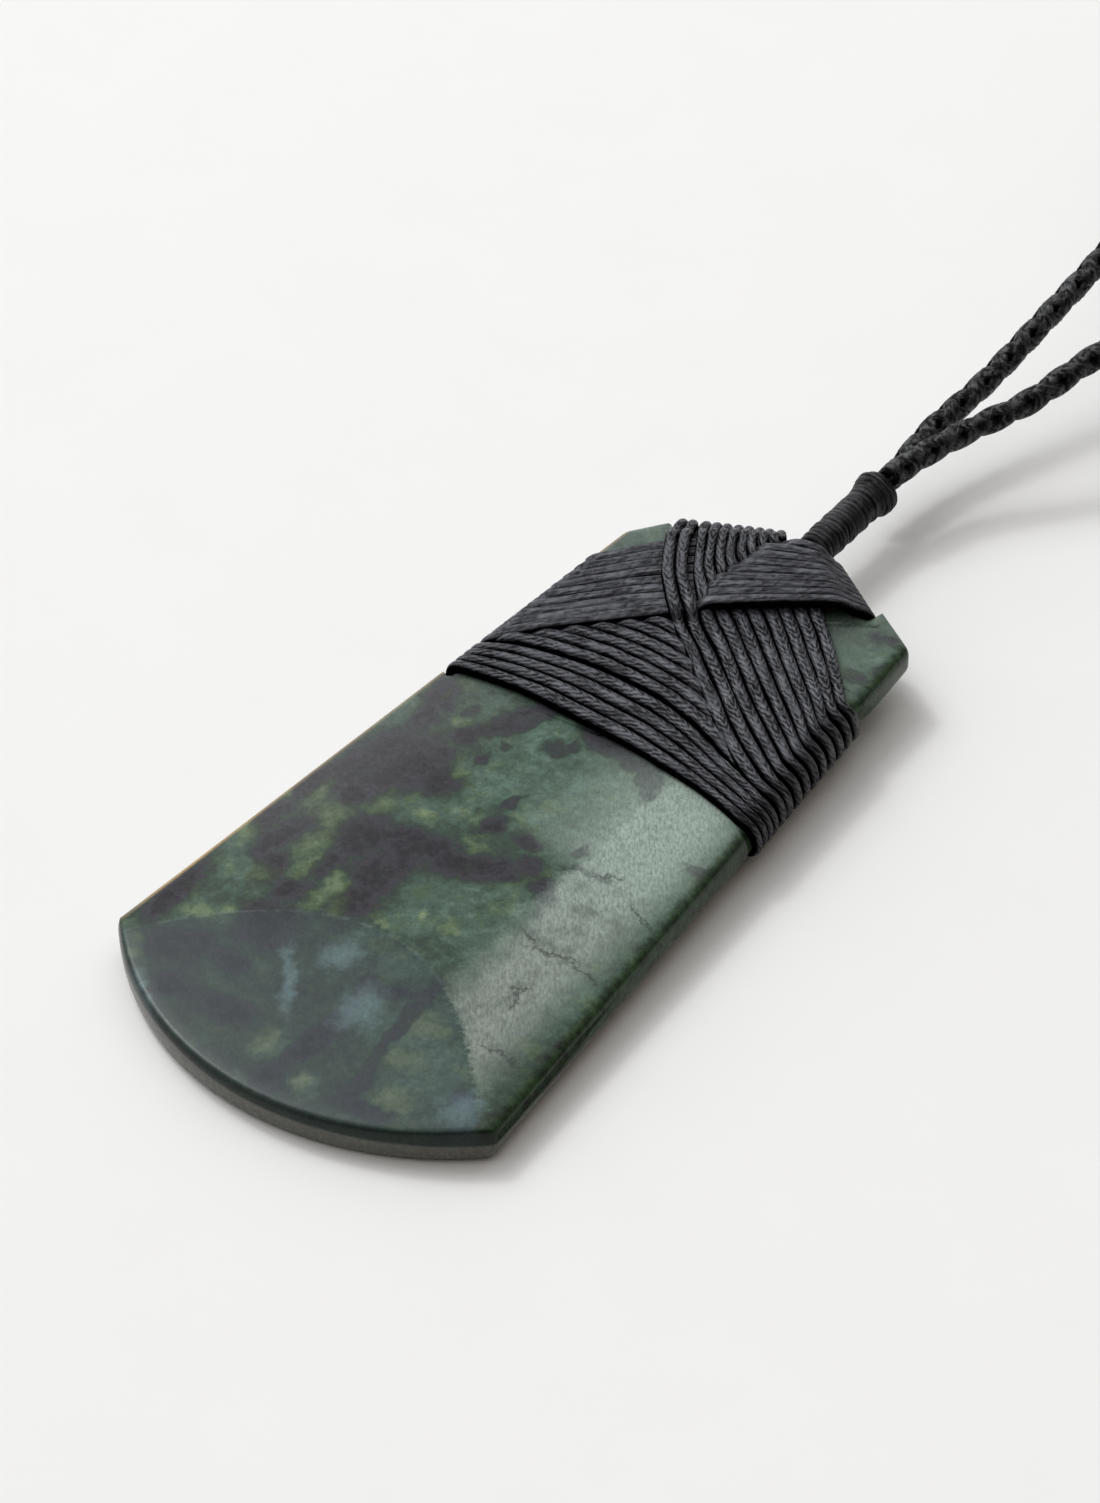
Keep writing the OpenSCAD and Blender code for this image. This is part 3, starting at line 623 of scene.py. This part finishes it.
class Strands:
    """Collects swept strands and writes them as one mesh."""

    def __init__(self):
        self.points = []
        self.faces = []
        self.uvs = []
        self.count = 0

    def sweep(self, centre, out, at, half_w, half_t, sides=16, closed=False, square=2.0, under=2.0,
              phase=0.0):
        """A strand along centre; out points away from what it lies on.

        at is the distance along it. Its section is a superellipse with the power square above
        and the power under below. phase shifts its texture along it.
        """
        if closed:
            tangent = unit_rows(np.roll(centre, -1, axis=0) - np.roll(centre, 1, axis=0))
        else:
            tangent = unit_rows(np.gradient(centre, axis=0))
        out = unit_rows(out - tangent * np.sum(out * tangent, axis=1, keepdims=True))
        side = np.cross(tangent, out)
        angle = (np.arange(sides) + 0.5) / sides * 2 * math.pi - math.pi / 2
        cos, sin = np.cos(angle), np.sin(angle)
        power = 2 / np.where(sin > 0, square, under)
        across = np.sign(cos) * np.abs(cos) ** power
        upward = np.sign(sin) * np.abs(sin) ** power
        rows = len(centre)
        half_w = np.broadcast_to(half_w, rows)[:, None]
        half_t = np.broadcast_to(half_t, rows)[:, None]
        ring = (centre[:, None, :]
                + side[:, None, :] * (half_w * across)[..., None]
                + out[:, None, :] * (half_t * upward)[..., None])
        faces = grid_faces(rows, sides, closed_rows=closed)[:, ::-1] + self.count
        r = np.arange(rows if closed else rows - 1)
        u = np.append(at, 2 * at[-1] - at[-2]) + phase
        v = np.arange(sides + 1) / sides
        corner_u = np.stack([u[r + 1], u[r + 1], u[r], u[r]], axis=-1)[:, None, :].repeat(sides, axis=1)
        corner_v = np.stack([v[:-1], v[1:], v[1:], v[:-1]], axis=-1)[None].repeat(len(r), axis=0)
        self.faces += faces.tolist()
        self.uvs.append(np.stack([corner_u, corner_v], axis=-1).reshape(-1, 2))
        if not closed:
            first = np.arange(sides) + self.count
            last = first[::-1] + (rows - 1) * sides
            self.faces += [first.tolist(), last.tolist()]
            self.uvs.append(np.full((2 * sides, 2), 0.5))
        self.points.append(ring.reshape(-1, 3))
        self.count += rows * sides

    def build(self, name, material, node, place=laid):
        points = place(np.concatenate(self.points))
        obj = make_mesh(name, points, self.faces, material, np.concatenate(self.uvs))
        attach(obj, "root")
        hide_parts(node)


# Stone
def half_w(y):
    return (STONE_W + (SHOULDER_W - STONE_W) * y / SHOULDER_Y) / 2


# edges of the outline as in the part's source: two points each, the stone on the left
EDGES = [
    ((half_w(0), 0), (half_w(SHOULDER_Y), SHOULDER_Y)),
    ((16.6, 64), (15.5, 66.9)),
    ((15.5, 66.9), (2.6, 75)),
    ((6, 73.6), (-6, 73.6)),
    ((-1.5, 74.6), (-12.7, 69.8)),
    ((-12.7, 69.8), (-15.1, 66.8)),
    ((-half_w(SHOULDER_Y), SHOULDER_Y), (-half_w(0), 0)),
]
# seats: an edge moved inwards between two stations along the outline; the one on
# the right side is higher up the stone at its back than at its front
SEATS = [
    ((10.1, 68.0), (2.4, 73.2), 0.0),
    ((-1.9, 73.4), (-11.9, 69.3), 0.0),
    ((LEFT_IN - half_w(60.4), 60.4), (LEFT_IN - half_w(40.7), 40.7), 0.0),
    ((half_w(38.3) - RIGHT_IN, 38.3), (half_w(57) - RIGHT_IN, 57), LEAN),
]
CENTRE_Y = 30.0


def ray_to_edge(direction, a, b):
    """Distance from the stone's middle to the line through a and b, or a large one."""
    ax, ay = a[0], a[1] - CENTRE_Y
    ex, ey = b[0] - a[0], b[1] - a[1]
    cross = direction[0] * ey - direction[1] * ex
    reach = np.divide(ax * ey - ay * ex, cross, out=np.full_like(cross, 1e3), where=cross > 1e-9)
    return np.where(reach > 0, reach, 1e3)


def outline_reach(angle, at_back):
    """How far the outline is from the stone's middle, and where it is the curved cutting edge."""
    direction = np.array([np.cos(angle), np.sin(angle)])
    reach = np.full(len(angle), 1e3)
    for a, b in EDGES:
        reach = np.minimum(reach, ray_to_edge(direction, a, b))
    cx, cy = EDGE_SHIFT, EDGE_R - EDGE_SAG - CENTRE_Y
    dot = direction[0] * cx + direction[1] * cy
    arc = dot + np.sqrt(np.maximum(dot ** 2 - cx ** 2 - cy ** 2 + EDGE_R ** 2, 0))
    low = direction[1] < -0.5
    on_arc = low & (arc < reach)
    reach = np.where(low, np.minimum(reach, arc), reach)
    for a, b, lean in SEATS:
        start = math.atan2(a[1] + lean * at_back - CENTRE_Y, a[0])
        end = math.atan2(b[1] + lean * at_back - CENTRE_Y, b[0])
        inside = (angle >= start) & (angle <= end)
        reach = np.where(inside, np.minimum(reach, ray_to_edge(direction, a, b)), reach)
    return reach, on_arc


def outline(step=0.25):
    """Points round the stone at its front and at its back, and their share in the curved edge."""
    fine = np.linspace(-math.pi, math.pi, 7200, endpoint=False)
    reach, on_arc = outline_reach(fine, 0.5)
    ring = np.stack([np.cos(fine) * reach, np.sin(fine) * reach, 0 * fine, fine, on_arc], axis=1)
    ring, _ = resample(ring[:-1], step)
    angle = ring[:, 3]
    shapes = []
    for at_back in (0.0, 1.0):
        reach, _ = outline_reach(angle, at_back)
        points = np.stack([np.cos(angle) * reach, np.sin(angle) * reach + CENTRE_Y], axis=1)
        shapes.append(soften(points, 1.3, closed=True))
    return shapes[0], shapes[1], soften(ring[:, 4:], 1.5, closed=True)[:, 0]


def front_z(x, y):
    """Height of the front: a gentle crown, cut by the bevel behind the edge."""
    crown = STONE_T - x ** 2 / (2 * CROWN_R)
    bevel = STONE_T + (y - BEVEL_Y) * BEVEL_SLOPE
    blend = 0.03
    return -blend * np.logaddexp(-crown / blend, -bevel / blend)


def unfolded(moved, shape, inset):
    """Takes out the loops that an inset row makes at a corner: their points go to the corner."""
    near = np.array([np.min(np.hypot(*(shape - p).T)) for p in moved])
    good = near > inset * 0.985 - 0.004
    index = np.arange(len(moved))
    kept = np.concatenate([index[good] - len(moved), index[good], index[good] + len(moved)])
    rows = np.concatenate([moved[good]] * 3)
    return np.stack([np.interp(index, kept, rows[:, k]) for k in range(2)], axis=1)


# profile of the wall: (inset, height) from the back to the front, the last
# heights measured down from the front
SIDE_WALL = [
    (1.5, 0), (1.0, 0), (0.74, 0.03), (0.5, 0.34), (0.22, 0.76), (0.04, 1.08), (0.0, 1.4), (0.0, 2.4),
    (0.02, -0.95), (0.08, -0.66), (0.2, -0.4), (0.38, -0.2), (0.65, -0.08), (1.0, -0.02), (1.6, 0),
]
EDGE_WALL = [
    (1.5, 0), (1.0, 0), (0.42, 0.02), (0.26, 0.16), (0.1, 0.5), (0.02, 0.95), (0.0, 1.5), (0.01, 2.1),
    (0.05, 2.5), (0.1, 2.68), (0.2, -0.22), (0.3, -0.11), (0.44, -0.04), (0.7, -0.01), (1.6, 0),
]
FIRST_FROM_TOP = (8, 10)  # the first of those heights in each profile
FACE_RINGS = 44
SPINE = (6.0, 60.0)  # ends of the centre line on which the faces' rings close


def stone_rows(front, back, edge):
    """Rings of points from the middle of the back, round the wall, to the middle of the front."""
    spine = np.stack([np.zeros(len(front)), np.clip(front[:, 1], *SPINE)], axis=1)
    share = np.linspace(0, 1, FACE_RINGS + 1)[1:] ** 1.15

    def row(k):
        side, rim = SIDE_WALL[k], EDGE_WALL[k]
        from_top = (k >= FIRST_FROM_TOP[0]) * (1 - edge), (k >= FIRST_FROM_TOP[1]) * edge
        down = np.clip(1 - side[1] / STONE_T, 0, 1) if k < FIRST_FROM_TOP[0] else 0.0
        shape = front + (back - front) * down
        tangent = unit_rows(np.roll(shape, -1, axis=0) - np.roll(shape, 1, axis=0))
        inward = np.stack([-tangent[:, 1], tangent[:, 0]], axis=1)
        inset = side[0] * (1 - edge) + rim[0] * edge
        xy = unfolded(shape + inward * inset[:, None], shape, inset)
        z = side[1] * (1 - edge) + rim[1] * edge + front_z(xy[:, 0], xy[:, 1]) * sum(from_top)
        return np.column_stack([xy, z])

    wall = [row(k) for k in range(len(SIDE_WALL))]
    below = []
    above = []
    for t in share:
        xy = wall[0][:, :2] * (1 - t) + spine * t
        below.append(np.column_stack([xy, np.zeros(len(xy))]))
        xy = wall[-1][:, :2] * (1 - t) + spine * t
        above.append(np.column_stack([xy, front_z(xy[:, 0], xy[:, 1])]))
    return np.array(below[::-1] + wall + above)


def make_stone():
    rows = stone_rows(*outline())
    faces = grid_faces(*rows.shape[:2]).tolist()
    stone = make_mesh("stone", laid(rows.reshape(-1, 3)), faces, STONE)
    bm = bmesh.new()
    bm.from_mesh(stone.data)
    bmesh.ops.remove_doubles(bm, verts=bm.verts, dist=0.00002)
    bmesh.ops.recalc_face_normals(bm, faces=bm.faces)
    bm.to_mesh(stone.data)
    bm.free()
    stone.data.polygons.foreach_set("use_smooth", np.ones(len(stone.data.polygons), bool))
    paint_patches(stone.data)
    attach(stone, "root")
    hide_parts("stone_blade")


make_stone()


# Lashing: each strand is a row of stations, which hold its centre, the direction
# away from the stone, and half its width
# plan directions in which the walls face
WALL_LEFT = (-1, 0.07)
WALL_RIGHT = (1, 0.07)
GABLE_LEFT = (-0.38, 0.93)
GABLE_RIGHT = (0.56, 0.83)
HALF = GAP + STRAND_T / 2
HALF_T = 0.52  # half the thickness of a strand
WIDEST = 0.8  # the widest half width of a strand
STEP = 0.27  # between two sections of a strand
SWELL = 0.018  # share by which a strand grows and shrinks along its length
TURN = 6.28  # about a whole turn


def band_plans(first, last, n, fill):
    """For each strand of a band its plan points and half widths; fill is its share of the pitch."""
    first, last = np.asarray(first, float), np.asarray(last, float)
    along = unit_rows(np.gradient((first + last) / 2, axis=0))
    span = last - first
    pitch = np.abs(along[:, 0] * span[:, 1] - along[:, 1] * span[:, 0]) / (n - 1)
    half = np.minimum(pitch * fill / 2, WIDEST)
    return [np.column_stack([first + span * k / (n - 1), half]) for k in range(n)]


def face_rows(plan, levels, front=True):
    """Stations on the front or back; levels says how many layers each lies above the stone."""
    x = plan[:, 0]
    rise = HALF + LAYER * np.asarray(levels)
    z = STONE_T - x * x / (2 * CROWN_R) + rise if front else -rise
    flat = np.zeros(len(plan))
    return np.column_stack([plan[:, :2], z, flat, flat, flat + (1 if front else -1), plan[:, 2]])


def wall_rows(share, pair, facing, half, leans=False):
    """Stations round a wall, from front to back, at a share of the way between two points.

    A leaning wall has two bevelled edges.
    """
    first, last = np.asarray(pair, float)
    at = first + (last - first) * share
    out = np.array([*facing, 0.0])
    out /= np.linalg.norm(out)
    up = np.array([0, 0, 1.0])
    top = STONE_T - at[0] ** 2 / (2 * CROWN_R)
    low_in, low_z = (0.7, 1.1) if leans else (0.12, 0.3)
    # inset and height of the stone's wall, and how much the strand's outside faces up there
    profile = (
        (0.75, top - 0.05, 3.0), (0.3, top - 0.28, 1.1), (0.04, top - 0.8, 0.4), (0.0, 2.3, 0.06),
        (0.0, low_z + 0.3, -0.1), (low_in * 0.3, low_z * 0.6, -0.7), (low_in, 0.0, -2.0),
    )
    rows = []
    for inset, z, tip in profile:
        direction = out + up * tip
        direction /= np.linalg.norm(direction)
        base = np.array([at[0], at[1], z]) - out * inset
        base[1] += LEAN * (STONE_T - z) / STONE_T if leans else 0.0
        rows.append([*(base + direction * HALF), *direction, half])
    return np.array(rows)


def leaned(plan):
    """The plan of a strand on the back, where it arrives higher up at the right side."""
    out = plan.copy()
    out[:, 1] += LEAN * np.maximum(0, (plan[:, 0] - 4) / 11)
    return out


def closed_loop(plan, front_levels, back_levels, share, right, left):
    """A closed strand: the front, round the right wall, the back, and round the left wall.

    right and left hold what wall_rows needs besides the share.
    """
    back = face_rows(leaned(plan), back_levels, False)[::-1]
    left_wall = wall_rows(share, *left)[::-1]
    return np.concatenate([face_rows(plan, front_levels), wall_rows(share, *right), back, left_wall])


def lay_strand(strands, rows, closed=True, wobble=0.035, soft=1.5, square=2.3):
    """Adds one wound strand, with small irregularities of its own."""
    path, at = resample(rows, STEP, closed=closed)
    path = soften(path, soft, closed=closed)
    centre, out, half = path[:, :3], path[:, 3:6], path[:, 6]
    waves = 2 * math.pi * at / (at[-1] + STEP)
    drift = 0
    swell = 1.0
    for k in (3, 5, 8, 13):
        drift = drift + random.uniform(-1, 1) * wobble * np.sin(k * waves + random.uniform(0, TURN))
        swell = swell + random.uniform(-1, 1) * SWELL * np.sin(2 * k * waves + random.uniform(0, TURN))
    side = np.cross(unit_rows(np.gradient(centre, axis=0)), out)
    strands.sweep(
        centre + side * drift[:, None], out, at, half * swell, HALF_T,
        closed=closed, square=square, under=5.0, phase=random.uniform(0, 40),
    )


# Points listed on the front: along the first and last strand of each band, where LOWER_MID
# runs half a strand further, and the pairs where these strands meet the stone's walls.
LOWER_FIRST = [
    [-15.2, 41.4], [-12, 41.9], [-8, 42.1], [-4, 42], [-1, 41.8], [3, 41.5], [7, 41], [11.4, 40.2],
    [15.2, 39.3],
]
LOWER_MID = [
    [-15.1, 45.1], [-12.4, 46.3], [-8.8, 47], [-4.8, 47.4], [-1.4, 47.3], [2, 47], [6, 46], [11.2, 43.9],
    [15, 42.7],
]
LOWER_LEFT = ((LEFT_IN - 17.14, 41.5), (LEFT_IN - 16.95, 44.6))
LOWER_RIGHT = ((17.35 - RIGHT_IN, 38.9), (17.15 - RIGHT_IN, 41.7))
FULL_STRANDS = 4
TUCKED_STRANDS = 6
TUCKED_FIRST = 1.85  # from the last full strand to the first tucked one
TUCKED_PITCH = 1.5
TUCKED_BEND = 0.012
TUCKED_HALF_W = 0.72

RISING_FIRST = [
    [-15.2, 46.8], [-12.2, 49.7], [-8.4, 53.4], [-4.6, 57], [-1.8, 59.4], [-0.5, 60.4], [1.2, 61.7],
    [4.8, 64.4], [7.4, 66.2], [9.3, 67.5],
]
RISING_LAST = [
    [-14.5, 60], [-12.8, 62], [-9.6, 65.6], [-5.6, 68.3], [-2.3, 69.9], [-0.9, 70.6], [0.6, 71.2],
    [2.2, 71.5], [3.2, 71.6], [3.9, 71.6],
]
RISING_LEFT = ((LEFT_IN - 16.82, 46.2), (LEFT_IN - 15.9, 59.5))
RISING_RIGHT = ((9.9, 68.17), (4.2, 72.02))
RISING_STRANDS = 9

FALL_FIRST = [
    [-8.8, 69.6], [-7.5, 67.6], [-4.9, 63.2], [-3.3, 61.3], [-0.5, 58.5], [2.1, 56.4], [7, 52.2],
    [11.6, 48.6], [14.8, 46.3],
]
FALL_LAST = [
    [-2, 72.3], [-2, 71.5], [-1.8, 70.6], [-0.6, 69.9], [3.4, 68], [5.6, 66], [8.8, 62.8], [11.9, 59.6],
    [14.2, 57],
]
FALL_GABLE = ((-9, 70.52), (-2.5, 73.18))
FALL_WALL = ((16.85 - RIGHT_IN, 45.7), (16.15 - RIGHT_IN, 56))
FALLING_STRANDS = 8

CROSS_FIRST = [
    [-10.8, 68.7], [-10.2, 67.1], [-9.2, 64.9], [-7.2, 61.6], [-5.3, 59.3], [-3.4, 57.4], [-2, 56.2],
    [0.3, 54.4], [5, 50.4], [10, 46.3], [14.8, 43.4],
]
CROSS_LAST = [
    [-9.9, 69.2], [-9.2, 67.6], [-8.1, 65.4], [-6.2, 62.3], [-4.4, 60.2], [-2.5, 58.4], [-1.1, 57.1],
    [1.2, 55.3], [5.9, 51.5], [10.6, 47.6], [14.7, 44.9],
]
CROSS_GABLE = ((-11.05, 69.68), (-10.15, 70.05))
CROSS_WALL = ((17.03 - RIGHT_IN, 43), (16.95 - RIGHT_IN, 44.2))

# where the two slanting bands change places, from low to high
SWAP_Y = [58.6, 60.1, 61.8, 63.5, 65, 66.7, 69, 71.5]
SWAP_X = [-1.9, -2.3, -3, -3, -2.6, -2.2, -2.2, 0]


def swap_side(x, y):
    """How far a point lies to the right of the line where the bands change places."""
    return x - np.interp(y, SWAP_Y, SWAP_X)


def height_at(table, x):
    return np.interp(x, [p[0] for p in table], [p[1] for p in table])


def make_lower():
    strands = Strands()
    first, mid = np.asarray(LOWER_FIRST), np.asarray(LOWER_MID)
    fourth = first + (mid - first) * (FULL_STRANDS - 1) / (FULL_STRANDS - 0.5)
    for k, plan in enumerate(band_plans(first, fourth, FULL_STRANDS, 0.97)):
        share = k / (FULL_STRANDS - 1)
        fine = spline(plan, 40)
        flat = np.zeros(len(fine))
        lay_strand(strands, closed_loop(
            fine, flat, flat, share,
            (LOWER_RIGHT, WALL_RIGHT, 0.46, True), (LOWER_LEFT, WALL_LEFT, 0.52),
        ))
    # the tucked strands follow the fourth one and dive under the slanting bands
    x = np.linspace(-15.5, 15, 123)
    base = height_at(fourth, x)
    rising = height_at(RISING_FIRST, x) - 0.9
    crossing = height_at(CROSS_FIRST, x) - 0.9
    room = np.minimum(np.where(x < -2.6, rising, 99), np.where(x > -3.6, crossing, 99))
    for k in range(TUCKED_STRANDS):
        y = base + TUCKED_FIRST + TUCKED_PITCH * k - TUCKED_BEND * k * np.abs(x + 3)
        keep = room - y > -1.0
        if keep.sum() < 6:
            continue
        level = -0.45 * smoothstep(0.3, -0.9, (room - y)[keep])
        plan = np.column_stack([x, y, np.full(len(x), TUCKED_HALF_W)])[keep]
        for front in (True, False):
            lay_strand(strands, face_rows(plan, level, front), closed=False, soft=1.0)
    strands.build("lower_strands", LASHING, "lower_wraps")


def make_rising():
    strands = Strands()
    for k, plan in enumerate(band_plans(RISING_FIRST, RISING_LAST, RISING_STRANDS, 1.03)):
        share = k / (RISING_STRANDS - 1)
        fine = spline(plan, 60)
        fine[:, 1] += (0.1 if k > 4 else -0.06) * smoothstep(-3, -8, fine[:, 0])
        levels = smoothstep(-0.5, 0.9, swap_side(fine[:, 0], fine[:, 1]))
        lift = (0.3 if k == 0 else 0.12 if k == 1 else 0.0) * smoothstep(-15.5, -12, fine[:, 0])
        levels = np.maximum(levels, lift)
        levels *= 1 - 0.8 * smoothstep(-1.6, 0, fine[:, 0] - fine[-1, 0])
        lay_strand(strands, closed_loop(
            fine, levels, np.zeros(len(fine)), share,
            (RISING_RIGHT, GABLE_RIGHT, 0.42), (RISING_LEFT, WALL_LEFT, 0.66),
        ), square=3.6, wobble=0.02)
    strands.build("rising_strands", FLAT_LASHING, "rising_wraps")


def crossing_levels(fine, front):
    """Levels of the falling strands: over the rising band, or on the front under it past the swap."""
    x, y = fine[:, 0], fine[:, 1]
    rising_low = height_at(RISING_FIRST, x) - 0.7
    rising_high = height_at(RISING_LAST, x) + 0.7
    inside = smoothstep(-1.5, -0.1, y - rising_low) * smoothstep(-1.5, -0.1, rising_high - y)
    if front:
        inside = inside * (1 - smoothstep(-0.2, 1.1, swap_side(x, y)))
    return inside


def make_falling():
    strands = Strands()
    for k, plan in enumerate(band_plans(FALL_FIRST, FALL_LAST, FALLING_STRANDS, 0.98)):
        share = k / (FALLING_STRANDS - 1)
        fine = spline(plan, 60)
        lay_strand(strands, closed_loop(
            fine, crossing_levels(fine, True), crossing_levels(fine, False), share,
            (FALL_WALL, WALL_RIGHT, 0.6, True), (FALL_GABLE, GABLE_LEFT, 0.46),
        ))
    strands.build("falling_strands", LASHING, "falling_wraps")


def make_crossing():
    strands = Strands()
    for k, plan in enumerate(band_plans(CROSS_FIRST, CROSS_LAST, 2, 0.92)):
        fine = spline(plan, 60)
        levels = crossing_levels(fine, False)
        lay_strand(strands, closed_loop(
            fine, levels + 0.02, levels, k,
            (CROSS_WALL, WALL_RIGHT, 0.54, True), (CROSS_GABLE, GABLE_LEFT, 0.46),
        ))
    strands.build("crossing_pair", LASHING, "crossing_strands")


make_lower()
make_rising()
make_falling()
make_crossing()


# Collar: one thread wound round the cords, its last turns over the ends
COLLAR_X = -0.2
COLLAR_Y = 74.85
COLLAR_LEN = 12.2
COLLAR_R = 1.75
THREAD_R = 0.33
THREAD_PITCH = 0.56
CORDS_DEG = 144.6  # the way the two cords lie side by side, where the flange is wider


def on_axis(y):
    return np.column_stack([0 * y + COLLAR_X, COLLAR_Y + y, 0 * y + STONE_T / 2])


def make_collar():
    strands = Strands()
    turns = (COLLAR_LEN - 0.7) / THREAD_PITCH
    t = np.linspace(0, turns, int(turns * 32))
    angle = 2 * math.pi * t
    y = 0.3 + t * THREAD_PITCH
    uneven = 0.05 * np.sin(1.7 * t + 0.6) + 0.035 * np.sin(4.3 * t)
    facing = np.cos(2 * (angle - math.radians(CORDS_DEG)))
    flare = (0.3 + 0.16 * facing) * smoothstep(9.0, 10.6, y) * smoothstep(12.0, 11.5, y)
    start = 0.25 * smoothstep(1.2, 0.0, y)
    radius = COLLAR_R - THREAD_R + uneven + flare - start
    out = np.column_stack([np.cos(angle), 0 * t, np.sin(angle)])
    centre = on_axis(y) + out * radius[:, None]
    strands.sweep(centre, out, distances(centre), THREAD_R, THREAD_R, sides=10)
    core_y = np.linspace(-1.2, COLLAR_LEN - 0.1, 24)
    core_r = 0.8 + (COLLAR_R - THREAD_R - 0.85) * smoothstep(-0.2, 0.6, core_y)
    core_r = core_r * (1 - 0.2 * smoothstep(COLLAR_LEN - 1.0, COLLAR_LEN, core_y))
    up = np.tile([0, 0, 1.0], (24, 1))
    strands.sweep(on_axis(core_y), up, core_y + 2, core_r, core_r, sides=20)
    strands.build("collar_thread", THREAD, "collar")


make_collar()


# Neck cord: a round plait of four strands along the route in the part's source
FLOOR_Z = 1.28
ROUTE = [
    [-0.95, 87.2, 4.5], [-0.9, 91, 4.7], [-1, 97, 5.9], [0, 105, 7.4], [1.2, 116.3, 10.8], [1.6, 124, 12.6],
    [0, 139, 13.4], [-6, 156, 10.5], [-15, 173, 5.6], [-26, 190, 2.2], [-38, 209, FLOOR_Z],
    [-51, 232, FLOOR_Z], [-62, 260, FLOOR_Z], [-65, 290, FLOOR_Z], [-57, 320, FLOOR_Z],
    [-34, 345, FLOOR_Z], [0, 355, FLOOR_Z],
    [34, 345, FLOOR_Z], [57, 320, FLOOR_Z], [65, 290, FLOOR_Z], [63, 260, FLOOR_Z], [55, 232, FLOOR_Z],
    [46, 209, FLOOR_Z], [37, 188, 2.6], [30, 170, 6.2], [23, 152, 10], [16.5, 133, 12.8], [12, 118, 13],
    [8.9, 108.8, 11.4], [6.3, 102.4, 9.1], [3.5, 97.6, 7.8], [1.4, 92.6, 6.9], [0.4, 87.2, 6.6],
]
PLAIT_PITCH = 7.5
PLAIT_MID = 0.64  # from the middle of the plait to the middle of a strand
PLAIT_WAVE = 0.05  # how far the strands pass over and under each other
PLAIT_HALF_W = 0.86
PLAIT_HALF_T = 0.58
PLAIT_STEP = 0.42


def make_neck_cord():
    path = spline(ROUTE, 640)
    path[:, 2] = np.maximum(path[:, 2], FLOOR_Z)
    path, at = resample(path, PLAIT_STEP)
    path = soften(path, 3)
    tangent = unit_rows(np.gradient(path, axis=0))
    side = unit_rows(np.cross(tangent, [0, 0, 1.0]))
    up = np.cross(side, tangent)
    strands = Strands()
    turn = 2 * math.pi * at / PLAIT_PITCH
    for way, start in ((1, 0), (1, math.pi), (-1, math.pi / 2), (-1, 3 * math.pi / 2)):
        angle = way * turn + start
        radius = PLAIT_MID + way * PLAIT_WAVE * np.sin(2 * turn)
        out = side * np.cos(angle)[:, None] + up * np.sin(angle)[:, None]
        strands.sweep(
            path + out * radius[:, None], out, at, PLAIT_HALF_W, PLAIT_HALF_T,
            sides=10, phase=start, square=2.2,
        )
    strands.build("neck_plait", PLAIT, "neck_cord", place=on_floor)


make_neck_cord()


# Stage and light
def make_floor():
    mesh = bpy.data.meshes.new("board")
    half = 1.5
    corners = [(-half, -half, 0), (half, -half, 0), (half, half, 0), (-half, half, 0)]
    mesh.from_pydata(corners, [], [(0, 1, 2, 3)])
    mesh.materials.append(floor_material())
    board = new_object("board", mesh)


# the lights are high up at the left, and both shine on the stone
LIGHT_AIM = (0, -0.12, 0)
LIGHT_COLOUR = (0.975, 0.99, 1.0)


def area_light(name, at, size, energy):
    data = bpy.data.lights.new(name, "AREA")
    data.shape = "DISK"
    data.size = size
    data.energy = energy
    data.color = LIGHT_COLOUR
    light = new_object(name, data)
    light.location = at
    light.rotation_euler = (Vector(at) - Vector(LIGHT_AIM)).to_track_quat("Z", "Y").to_euler()


BRIGHT_SIDE = (-0.78, 0.28, 0.56)


def make_world():
    """A pale room, bright up to the left and behind the object, dim and warm at its right."""
    world = bpy.data.worlds.new("room")
    bpy.context.scene.world = world
    n = Nodes(world)
    towards = n.vector("DOT_PRODUCT", n.add("TexCoord").outputs["Generated"], BRIGHT_SIDE)
    shader = n.tree.nodes["Background"]
    tint = n.mix(n.ramp(towards, -0.5, 0.6), (1.0, 0.78, 0.56), (0.965, 0.985, 1.0))
    n.put(shader.inputs["Color"], tint)
    n.put(shader.inputs["Strength"], n.ramp(towards, -0.4, 0.8, 0.05, 1.0))


make_floor()
make_world()
area_light("key", (-1.2, 0.12, 1.58), size=1.2, energy=14.6)
area_light("window", (-1.2, 0.16, 1.58), size=0.3, energy=6.2)
bpy.context.scene.view_settings.view_transform = "Standard"
